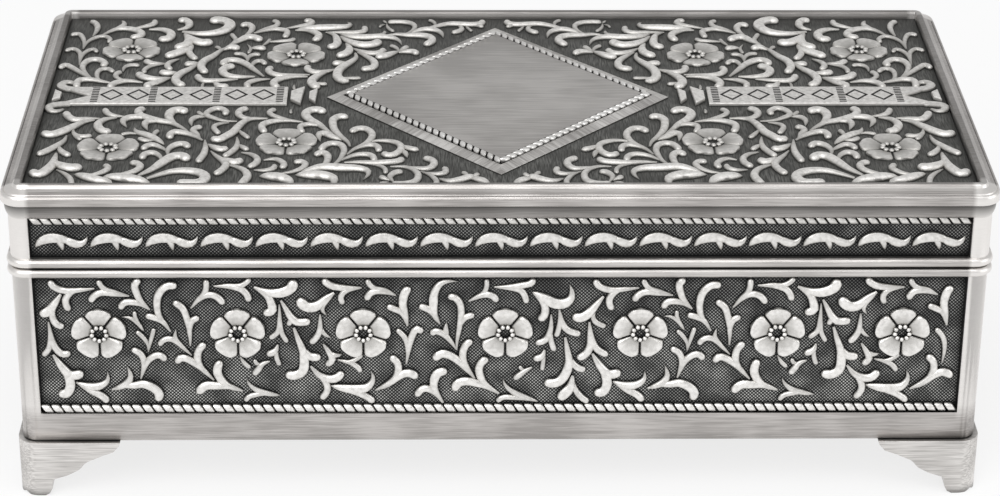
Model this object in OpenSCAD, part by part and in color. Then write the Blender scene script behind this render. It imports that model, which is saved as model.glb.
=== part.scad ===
// Rosary box: a cast metal casket with a hinged lid, relief panels and bracket feet.
// Origin on the floor under the middle of the box, +Z up, the front faces -Y.
// In every profile the first number is the distance inwards from the outermost
// moulding of the lid, and the second is the height above the floor.

/* [Box] */
// Width over the lid moulding
box_w = 200; // [180:1:220]
// Depth over the lid moulding
box_d = 100; // [90:1:120]
// Height from the floor to the lid rim
box_h = 70; // [66:1:80]
// Height of the seam between body and lid
seam_z = 52.2; // [50:0.1:54]
// Open gap left in the seam
seam_gap = 0.3; // [0.2:0.05:0.5]

/* [Walls] */
// Distance that the walls stand inside the lid moulding
wall_set = 1.3; // [1:0.1:2]
// Thickness of the cast walls
wall_t = 3.2; // [3:0.1:4]
// Width of the smooth corner posts
post_w = 4.3; // [3.5:0.1:6]
// Depth of the rebates that take the relief plates
rebate = 1.9; // [1.5:0.1:2.2]
// Thickness of the relief plates
plate_t = 0.9; // [0.6:0.1:1.2]
// Gap round the edge of each plate
plate_gap = 0.1; // [0.05:0.05:0.2]

/* [Mouldings] */
// Radius of the rope edges
rope_r = 0.9; // [0.6:0.05:1]
// Height of the half-round beads at the seam
bead_h = 1.9; // [1.5:0.1:2.4]
// How far the beads stand out from the wall
bead_out = 0.85; // [0.5:0.05:1.1]
// Height of the plain band above the feet
band_h = 6.3; // [5:0.1:8]
// Height of the relief field, from its rope to the seam bead
panel_h = 31.45; // [28:0.05:34]
// Height of the lid frieze with its rope
frieze_h = 9.1; // [8:0.1:10]

/* [Lid top] */
// Distance from the outermost moulding to the inside of the raised rim
rim_in = 4.25; // [4:0.05:5]
// Depth of the relief field below the rim
field_drop = 1.6; // [1.2:0.1:2.5]
// Thickness of the top plate
top_plate_t = 1.2; // [1:0.1:1.6]
// Half the width of the plaque at its foot
plaque_x = 36.4; // [30:0.2:40]
// Half the depth of the plaque at its foot
plaque_y = 39.4; // [30:0.2:42]
// Height of the plaque
plaque_h = 1.3; // [1:0.1:1.5]

/* [Relief] */
// Across the petals of a flower on the walls
wall_flower_d = 11.3; // [9:0.1:13]
// Across the petals of a flower on the lid
lid_flower_d = 12.8; // [10:0.1:14]
// Height of the flowers above the field
flower_h = 0.9; // [0.5:0.1:1.2]
// Height of the scrolls on the walls
wall_scroll_h = 0.7; // [0.4:0.1:1]
// Height of the scrolls on the lid
lid_scroll_h = 1.1; // [0.6:0.1:1.4]
// Spacing of the frieze leaves
leaf_pitch = 11; // [10:0.1:12.5]

/* [Feet] */
// Height of the feet
foot_h = 12.4; // [10:0.1:15]
// Length of each wing from the corner
foot_l = 21.3; // [18:0.1:26]
// Thickness of the wings
foot_t = 2; // [1.6:0.1:2.6]
// How far the feet stand out from the walls
foot_out = 1; // [0.5:0.1:1.2]

/* [Hinges] */
// Length of each hinge
hinge_l = 28; // [24:1:34]
// Distance of each hinge from the middle
hinge_x = 50; // [35:1:60]
// Radius of the barrel
barrel_r = 1.5; // [1.3:0.1:1.8]
// Radius of the pins
pin_r = 0.75; // [0.6:0.05:0.9]

/* [Lining] */
// Thickness of the velvet-covered boards
board_t = 1.6; // [1.2:0.1:2]
// Thickness of the floor pad
pad_t = 3; // [2:0.1:4]

/* [Hidden] */
$fn = 48;
e = 0.01;

silver = [0.8, 0.79, 0.76];
dark_silver = [0.45, 0.44, 0.43];
bright_silver = [0.9, 0.89, 0.87];
velvet = [0.1, 0.12, 0.28];

half_w = box_w / 2;
half_d = box_d / 2;
wall_in = wall_set + wall_t;
post_end = wall_set + post_w;
field_in = wall_set + rebate - plate_t;
body_top = seam_z - seam_gap / 2;
lid_bottom = seam_z + seam_gap / 2;
band_top = foot_h + band_h;
panel_top = band_top + panel_h;
frieze_bottom = lid_bottom + bead_h;
frieze_top = frieze_bottom + frieze_h;
field_z = box_h - field_drop;
plate_z = field_z - top_plate_t;
lid_ledge_t = 1.2;
lid_ledge_w = 2.5;

// Floor, ledge and screws
ledge_t = 1;
ledge_w = 4.8;
bottom_t = 1.2;
floor_z = foot_h + ledge_t + bottom_t;
screw_r = 1;
head_r = 1.9;
hole_gap = 0.05;
screw_in = wall_in + ledge_w / 2;
screw_along = 14.5;
tab_t = 3;

// Scrolls: repeat along a long wall, and widths of the root and of the blunt end as shares of the widest
scroll_repeat = 109.9;
root_share = 0.25;
blunt_share = 0.55;

// Hinges
hinge_y = half_d;
leaf_t = 0.9;
leaf_h = 9;
knuckle_gap = 0.2;
body_knuckle_l = 8.1;
lid_knuckle_l = hinge_l - 2 * (body_knuckle_l + knuckle_gap);
notch_r = barrel_r + 0.3;
rivet_r = 1;
rivet_head_r = 1.7;
rivet_head_t = 0.4;
rivet_x = [-9.5, 0, 9.5];
rivet_from_edge = 6;

// Linings stand clear of the hinge rivets on the back wall
lining_in = wall_in + 0.1;
back_lining_in = wall_in + leaf_t + rivet_head_t + 0.1;
lid_pad_t = 1.7;
lid_pad_z = plate_z - lid_ledge_t - lid_pad_t - 0.1;

// Places of the flowers, measured from the middle of each plate
wall_flower_z = 37;
long_flower_x = [-81.6, -53.5, -28, 0.9, 28.4, 56.4, 81.9];
short_flower_x = [-28, 0, 28];
lid_flower_xy = [[80.4, 26.4], [44, 23.7]];

// Ribbon bands on the lid
ribbon_from = 44.8;
ribbon_to = 92.6;
ribbon_y = 4.6;
ribbon_h = 0.7;
ribbon_notch = 3.6;

function arc(cx, cy, rx, ry, from, to, steps) =
    [for (i = [0:steps]) let (a = from + (to - from) * i / steps) [cx + rx * cos(a), cy + ry * sin(a)]];

// Half-round bead, from its lower edge at height z to its upper edge
function bead(z) = arc(wall_set, z + bead_h / 2, bead_out, bead_h / 2, 270, 90, 10);

body_profile = concat(
    [[wall_in, foot_h], [wall_set + 0.3, foot_h], [wall_set, foot_h + 0.3]],
    bead(body_top - bead_h),
    [[wall_in, body_top]]);

lid_profile = concat(
    [[wall_in, lid_bottom]],
    bead(lid_bottom),
    [[wall_set, frieze_top]],
    arc(wall_set + 0.1, box_h - 3.7, 0.75, 2.9, 250, 180, 5),
    [[0.15, box_h - 3.65], [0, box_h - 3.45], [0, box_h - 2.2], [0.08, box_h - 1.9]],
    [[0.3, box_h - 1.6], [0.6, box_h - 1.5], [0.78, box_h - 1.65], [0.92, box_h - 1.35]],
    [[2.5, box_h - 0.8], [2.65, box_h - 0.35], [3, box_h], [3.7, box_h]],
    [[4.05, box_h - 0.15], [rim_in, box_h - 0.5], [rim_in, plate_z], [wall_in, plate_z]]);

// One straight moulding along X, its outside towards -Y
module run_x(profile, length, depth) {
    translate([-length / 2, 0, 0])
        rotate([90, 0, 90])
            linear_extrude(length)
                polygon([for (p = profile) [p[0] - depth, p[1]]]);
}

// A moulding carried round the whole box, with round corners
module moulding(profile) {
    for (side = [0, 1])
        mirror([0, side, 0])
            run_x(profile, box_w - 2 * wall_in, half_d);
    for (side = [0, 1])
        mirror([side, 0, 0])
            rotate(-90)
                run_x(profile, box_d - 2 * wall_in, half_w);
    for (corner = [0:3])
        let (sx = (corner == 0 || corner == 3) ? 1 : -1, sy = corner < 2 ? 1 : -1)
            translate([sx * (half_w - wall_in), sy * (half_d - wall_in), 0])
                rotate(90 * corner)
                    rotate_extrude(angle = 90)
                        polygon([for (p = profile) [wall_in - p[0], p[1]]]);
}

// A block between two distances inside the outer moulding, all round the box
module ring(outside, inside, z, height) {
    difference() {
        inset_block(outside, z, height);
        inset_block(inside, z - 1, height + 2);
    }
}

module inset_block(inset, z, height) {
    translate([inset - half_w, inset - half_d, z])
        cube([box_w - 2 * inset, box_d - 2 * inset, height]);
}

// Rebates for four plates between the posts
module rebates(z, height) {
    for (side = [-1, 1]) {
        translate([post_end - half_w, side < 0 ? -half_d - 1 : half_d - wall_set - rebate, z])
            cube([box_w - 2 * post_end, 1 + wall_set + rebate, height]);
        translate([side < 0 ? -half_w - 1 : half_w - wall_set - rebate, post_end - half_d, z])
            cube([1 + wall_set + rebate, box_d - 2 * post_end, height]);
    }
}

module on_x_hinges() {
    for (side = [-1, 1])
        translate([side * hinge_x, hinge_y, seam_z])
            children();
}

module barrel(from, length, radius) {
    translate([from, 0, 0])
        rotate([0, 90, 0])
            cylinder(h = length, r = radius);
}

module body_strap(side) {
    from = side < 0 ? -hinge_l / 2 : hinge_l / 2 - body_knuckle_l;
    translate([from, -wall_in - leaf_t, -seam_gap / 2 - leaf_t])
        cube([body_knuckle_l, wall_in + leaf_t, leaf_t]);
}

module lid_strap() {
    translate([-lid_knuckle_l / 2, -wall_in - leaf_t, seam_gap / 2])
        cube([lid_knuckle_l, wall_in + leaf_t, leaf_t]);
}

module hinge_room() {
    barrel(-hinge_l / 2 - 1.5, hinge_l + 3, notch_r);
}

module at_screws() {
    for (sx = [-1, 1], sy = [-1, 1]) {
        translate([sx * (half_w - screw_in), sy * (half_d - screw_along), 0])
            children();
        translate([sx * (half_w - screw_along), sy * (half_d - screw_in), 0])
            children();
    }
}

module body_frame() {
    color(silver)
        difference() {
            union() {
                moulding(body_profile);
                ring(wall_in - e, wall_in + ledge_w, foot_h, ledge_t);
            }
            rebates(band_top, panel_h);
            on_x_hinges() {
                hinge_room();
                for (side = [-1, 1])
                    body_strap(side);
            }
            at_screws()
                translate([0, 0, foot_h - 1])
                    cylinder(h = ledge_t + 2, r = screw_r + hole_gap);
            rivet_holes(-rivet_from_edge);
        }
}

// Row of rivets through a hinge leaf and the back wall behind it
module rivets(drop, radius, from_y, length) {
    on_x_hinges()
        for (x = rivet_x)
            translate([x, from_y - hinge_y, drop])
                rotate([-90, 0, 0])
                    cylinder(h = length, r = radius);
}

module rivet_holes(drop) {
    rivets(drop, rivet_r + hole_gap, half_d - wall_in - 1, wall_t - rebate + 1.5);
}

module rivet_group(drop) {
    leaf_face = half_d - wall_in - leaf_t;
    color(dark_silver) {
        rivets(drop, rivet_r, leaf_face, leaf_t + wall_t - rebate - 0.05);
        rivets(drop, rivet_head_r, leaf_face - rivet_head_t, rivet_head_t);
    }
}

// Simple five-petalled flower with a round heart, its top petal along +Y
module flower(across) {
    petal_r = across * 0.23;
    for (i = [0:4])
        rotate(90 + 72 * i)
            translate([across / 2 - petal_r, 0, -e])
                cylinder(h = flower_h, r = petal_r, $fn = 24);
    translate([0, 0, -e])
        cylinder(h = flower_h + 0.2, r = across * 0.22);
}

// Relief plate with a rope along one long edge, its middle at x = 0,
// facing -Y with its field at y = 0
module plate(length, z, height, rope_z) {
    translate([-length / 2, 0, z])
        cube([length, plate_t, height]);
    translate([-length / 2, -0.2, rope_z])
        rotate([0, 90, 0])
            cylinder(h = length, r = rope_r);
}

// Scrolls of the relief: [width of the fat end, points from the root to that end].
// A negative width stands for an arm that ends in a point.
// On the walls the points are along the wall and up from the floor, and these come twice
wall_scrolls = [
    [1.5, [[-82, 47.3], [-85, 47], [-88, 46.9], [-90.2, 47.8], [-91, 49.3]]],
    [1.5, [[-83, 47.3], [-86.2, 46.8], [-87.8, 45.2], [-87.9, 43.6], [-87.2, 42.3]]],
    [1.5, [[-75.1, 45.6], [-78.2, 46.1], [-80.8, 46.4], [-82.4, 45.4], [-83, 44.2]]],
    [2, [[-91.2, 32.3], [-89.6, 29.7], [-88.4, 27.4], [-88, 25.3], [-88.9, 23.4], [-90.7, 23.2]]],
    [2, [[-91.2, 32.3], [-89.4, 29.2], [-87.8, 27.6], [-85.1, 27.9]]],
    [-1.6, [[-86.8, 25.8], [-84.5, 24.9], [-82, 25], [-80.4, 26.3], [-80.3, 28.3]]],
    [1.6, [[-86.8, 25.8], [-84, 23.9], [-81.8, 22.7], [-80.4, 21.2]]],
    [1.9, [[-79.6, 24.1], [-77.1, 25], [-75, 25.1], [-73.2, 25.4], [-71.3, 24.7], [-70, 23.2],
        [-70.4, 21.4]]],
    [-1.4, [[-79.6, 24.1], [-77, 25.2], [-75.7, 26.8], [-75.8, 28.2], [-76.3, 29.6]]],
    [1.5, [[-71.1, 42.5], [-72.9, 43.8], [-75, 44.3], [-76.3, 44], [-77.1, 42.6]]],
    [1.6, [[-71.1, 42.5], [-72.9, 44.7], [-73.8, 47.1], [-73.8, 48.4], [-72.7, 49.4]]],
    [1.7, [[-67.1, 37.5], [-68.4, 39.5], [-69.3, 41.3], [-69.6, 43.7], [-69.1, 46.1],
        [-67.4, 47.9], [-65.3, 47.9]]],
    [1.4, [[-67.1, 37.5], [-68.7, 39.9], [-70.5, 40.8], [-72.1, 41.2]]],
    [1.4, [[-73.6, 26.6], [-73, 28.9], [-72.8, 30.5], [-73.4, 32.4], [-75.2, 33.6]]],
    [1.5, [[-73.6, 26.6], [-72.4, 30], [-71.1, 31.6], [-69.5, 32.1], [-68.2, 30.8]]],
    [1.5, [[-63.2, 34.2], [-63.2, 37.4], [-63.7, 40.5], [-64.5, 42.9], [-66.3, 44.4]]],
    [1.4, [[-63.2, 35], [-63.2, 38.4], [-62.6, 40], [-61.1, 40.8]]],
    [1.3, [[-63, 32], [-64.5, 33.6], [-66.1, 35.3], [-67.6, 35.9], [-68.9, 35.3], [-69.5, 34.2]]],
    [1.6, [[-58.7, 26.3], [-60.5, 28.4], [-62.4, 30.2], [-65, 31.5], [-66.3, 30.2]]],
    [1.6, [[-58.7, 26.3], [-61.4, 29.6], [-61.8, 32], [-61.1, 33.9], [-60, 34.7]]],
    [1.3, [[-62.8, 42.8], [-61.3, 44.8], [-60, 46.1], [-59.5, 47.6], [-59.5, 49.4]]],
    [1.5, [[-62.8, 42.8], [-61, 44.9], [-59.2, 45.9], [-57.5, 45.5], [-56, 43.7]]],
    [1.5, [[-58, 47.8], [-55, 47.8], [-52.4, 47.1], [-51.3, 45.8], [-50.9, 44.3]]],
    [2.2, [[-49.9, 47.6], [-47.6, 46.6], [-45.3, 46.3], [-43.2, 46.9], [-42.1, 48], [-42.2, 49.4]]],
    [1.8, [[-49.9, 47.6], [-47.4, 45.8], [-46.6, 44.2], [-46.4, 42.4], [-48.2, 41.5]]],
    [1.7, [[-44.6, 44.6], [-43.7, 42.9], [-42.6, 40.8], [-41.4, 39.7], [-38.6, 39.8]]],
    [2, [[-42.1, 38.4], [-41.3, 35.8], [-40.4, 33.2], [-40.1, 30.5], [-40.5, 28.4], [-42.1, 27.4],
        [-44.1, 27.6]]],
    [1.8, [[-40.8, 34.2], [-40, 33], [-39, 31.8], [-36.6, 31.5]]],
    [1.4, [[-36.7, 41.4], [-36.7, 39.5], [-36.9, 37.4], [-37.9, 35.6], [-38.9, 34.8]]],
    [2.2, [[-33.7, 46.3], [-35.5, 45], [-37.1, 43.5], [-38.9, 43.1], [-40.4, 44.1], [-40.7, 45.3]]],
    [1.6, [[-28.2, 47.4], [-31, 47.4], [-33.6, 47.7], [-35.2, 48.5], [-35.9, 49.6]]],
    [1.3, [[-28.2, 47.4], [-31, 46.9], [-32.2, 45.9], [-32.4, 44.7], [-31.8, 43.7]]],
    [1.5, [[-21.3, 45.7], [-24, 46.6], [-26, 46.5], [-27, 45.4], [-27, 44.5]]],
    [1.5, [[-36.2, 34.6], [-35, 32.6], [-34.4, 31], [-35.7, 29.6]]],
    [1.8, [[-38.9, 29.5], [-37.1, 27.4], [-35, 26.5], [-33.4, 26.9], [-32.2, 28.2]]],
    [1.5, [[-38.9, 29.5], [-36.3, 26.5], [-35.5, 24.7], [-35.7, 23.3], [-36.9, 21.8]]],
    [-1.9, [[-34.7, 24.9], [-31.8, 24.3], [-29.2, 24.2], [-27.4, 24.5], [-26.3, 25.8],
        [-26.1, 27.1], [-26.6, 28.3]]],
    [1.5, [[-34.7, 24.9], [-31.4, 23.9], [-28.9, 23.1], [-27.1, 22.1], [-25.9, 21]]],
    [1.6, [[-25.5, 23.9], [-23, 25.1], [-21.4, 27], [-20.9, 28.8], [-21.2, 30.4], [-22.6, 31.8]]],
    [1.8, [[-25.5, 23.9], [-22.6, 25.6], [-20.6, 27.3], [-18.7, 27.9], [-16.9, 26.7]]],
    [1.5, [[-19.3, 29.9], [-18.6, 34.4], [-17.9, 36.8], [-17.1, 38], [-15.8, 37.2]]],
    [1.9, [[-52.9, 23.7], [-55.6, 24.8], [-58.2, 25], [-60.2, 25.1], [-61.4, 24.2], [-61.9, 23]]],
    [1.8, [[-52.9, 23.7], [-55.8, 24.9], [-57.2, 26.4], [-57.9, 28.3], [-57.5, 30], [-56.8, 30.6]]],
    [1.4, [[-47.1, 30.6], [-48.6, 30], [-49.5, 28.8], [-50.6, 27.4]]],
    [1.5, [[-45.4, 34.5], [-46, 33], [-47.8, 32.1]]],
    [1.8, [[-19, 38.7], [-19.3, 41], [-19.9, 44], [-19.4, 46.5], [-18.3, 47.5]]],
    [1.4, [[-19, 38.7], [-20, 41.6], [-21.6, 42.6], [-23.2, 43.3]]]];

// Wall scrolls that come once
single_wall_scrolls = [
    [2, [[-88.8, 46.1], [-90.2, 44], [-91.4, 42.4], [-93.4, 41.3]]],
    [1.5, [[-88.8, 46.1], [-90.6, 43], [-90.8, 40.8], [-90, 39.2], [-88.5, 38.6]]],
    [1.3, [[-91.7, 39.8], [-91.5, 36.5], [-91.9, 33.8], [-93.3, 31.9]]],
    [1.5, [[-91.7, 39.8], [-91.2, 35.5], [-90.2, 33.2], [-88.8, 32.3], [-87.6, 32.9]]],
    [-1.7, [[-12.4, 39.1], [-13.5, 41.3], [-13.7, 43.8], [-13.5, 46.2], [-12.3, 48.3],
        [-10.6, 48.9], [-8.5, 48.7]]],
    [1.5, [[-12.4, 39.1], [-14.3, 42.2], [-16.7, 43.4]]],
    [1.5, [[-9, 33.2], [-8.9, 35.3], [-8.4, 38.6], [-8.1, 41.3], [-8.3, 43.7], [-9.4, 45.2],
        [-10.9, 45.4]]],
    [1.4, [[-8.6, 37.4], [-8, 39.6], [-7, 40.8], [-5.3, 41.2]]],
    [1.4, [[-9, 33.2], [-10.3, 35.3], [-11.8, 36.9], [-13.5, 37.5], [-14.1, 36.5]]],
    [1.8, [[-5.3, 26.6], [-7.4, 29.2], [-9.3, 31.2], [-11.9, 32.4], [-13.8, 30.9]]],
    [1.6, [[-5.3, 26.6], [-7.4, 30.2], [-7.7, 32.6], [-6.9, 34.6], [-5.7, 35.3]]],
    [1.9, [[-0.3, 23], [-2.9, 24.7], [-5.1, 25.5], [-7.2, 26], [-8.8, 25.4], [-9.5, 23.6]]],
    [1.7, [[-0.3, 23], [-3.2, 25.3], [-4.1, 27.1], [-4.4, 29], [-3.5, 30.7], [-2.4, 30.8]]],
    [1.6, [[-11.8, 20.9], [-12.9, 22.6], [-14.3, 23.9], [-15.9, 24.2], [-17.4, 22.4]]],
    [1.9, [[-11.8, 20.9], [-13.5, 24], [-13.6, 26.2], [-12.8, 27.9], [-10.8, 28.3]]],
    [1.5, [[-6.6, 44.3], [-4.4, 45.5], [-2.9, 45.9], [-1.4, 45.3], [-0.8, 44.1]]],
    [1.5, [[-1.4, 47.5], [1.8, 47.6], [4.4, 48], [6, 48.4], [6.7, 49.5]]],
    [1.4, [[-1.4, 47.5], [1.8, 47.3], [3.9, 46.8], [4.8, 45.5], [5.2, 43.8]]],
    [-2.1, [[6.4, 46.4], [8.9, 45], [11, 43.9], [12.9, 43.9], [14.2, 45], [14.3, 46.6], [13.8, 48.2]]],
    [1.7, [[6.4, 46.4], [8.4, 44.2], [9, 42.4], [8.6, 40.8], [7.5, 40.1]]],
    [1.4, [[10.2, 41.3], [10.2, 38.7], [9.8, 36.6], [8.9, 35.3], [7, 34.6]]],
    [1.3, [[10.3, 38.4], [10.2, 35.6], [11, 32.8]]],
    [1.5, [[11.8, 42.4], [12.5, 39.4], [13.6, 37.7], [16.3, 36.7]]],
    [2, [[13.1, 36.1], [13.6, 33.2], [14, 30.2], [13.1, 27.2], [11.5, 25.6], [8.9, 25.5]]],
    [1.5, [[13.8, 32.4], [14.6, 30.4], [15.8, 29], [17.5, 28.5]]],
    [1.5, [[9, 33.2], [8.4, 31.6], [6.6, 31]]],
    [1.3, [[6.5, 29.1], [5.2, 28.4], [4.2, 27.6], [2.7, 26.3]]],
    [2.2, [[14.8, 27.2], [14.4, 24.6], [13, 22.8], [12, 21.6]]],
    [1.4, [[14.8, 27.2], [15.2, 24.4], [16.4, 22.4], [18.2, 20.9]]],
    [1.7, [[18, 39.6], [18.2, 36.5], [18.3, 34.2], [17.4, 32.2], [15.6, 31.1]]],
    [1.5, [[18, 39.6], [18.6, 35.6], [19.6, 33.4], [22, 31.8]]],
    [2, [[20.8, 45.4], [19.4, 43.6], [18, 41.8], [16.2, 40.6], [14.4, 40.9]]]];

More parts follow.
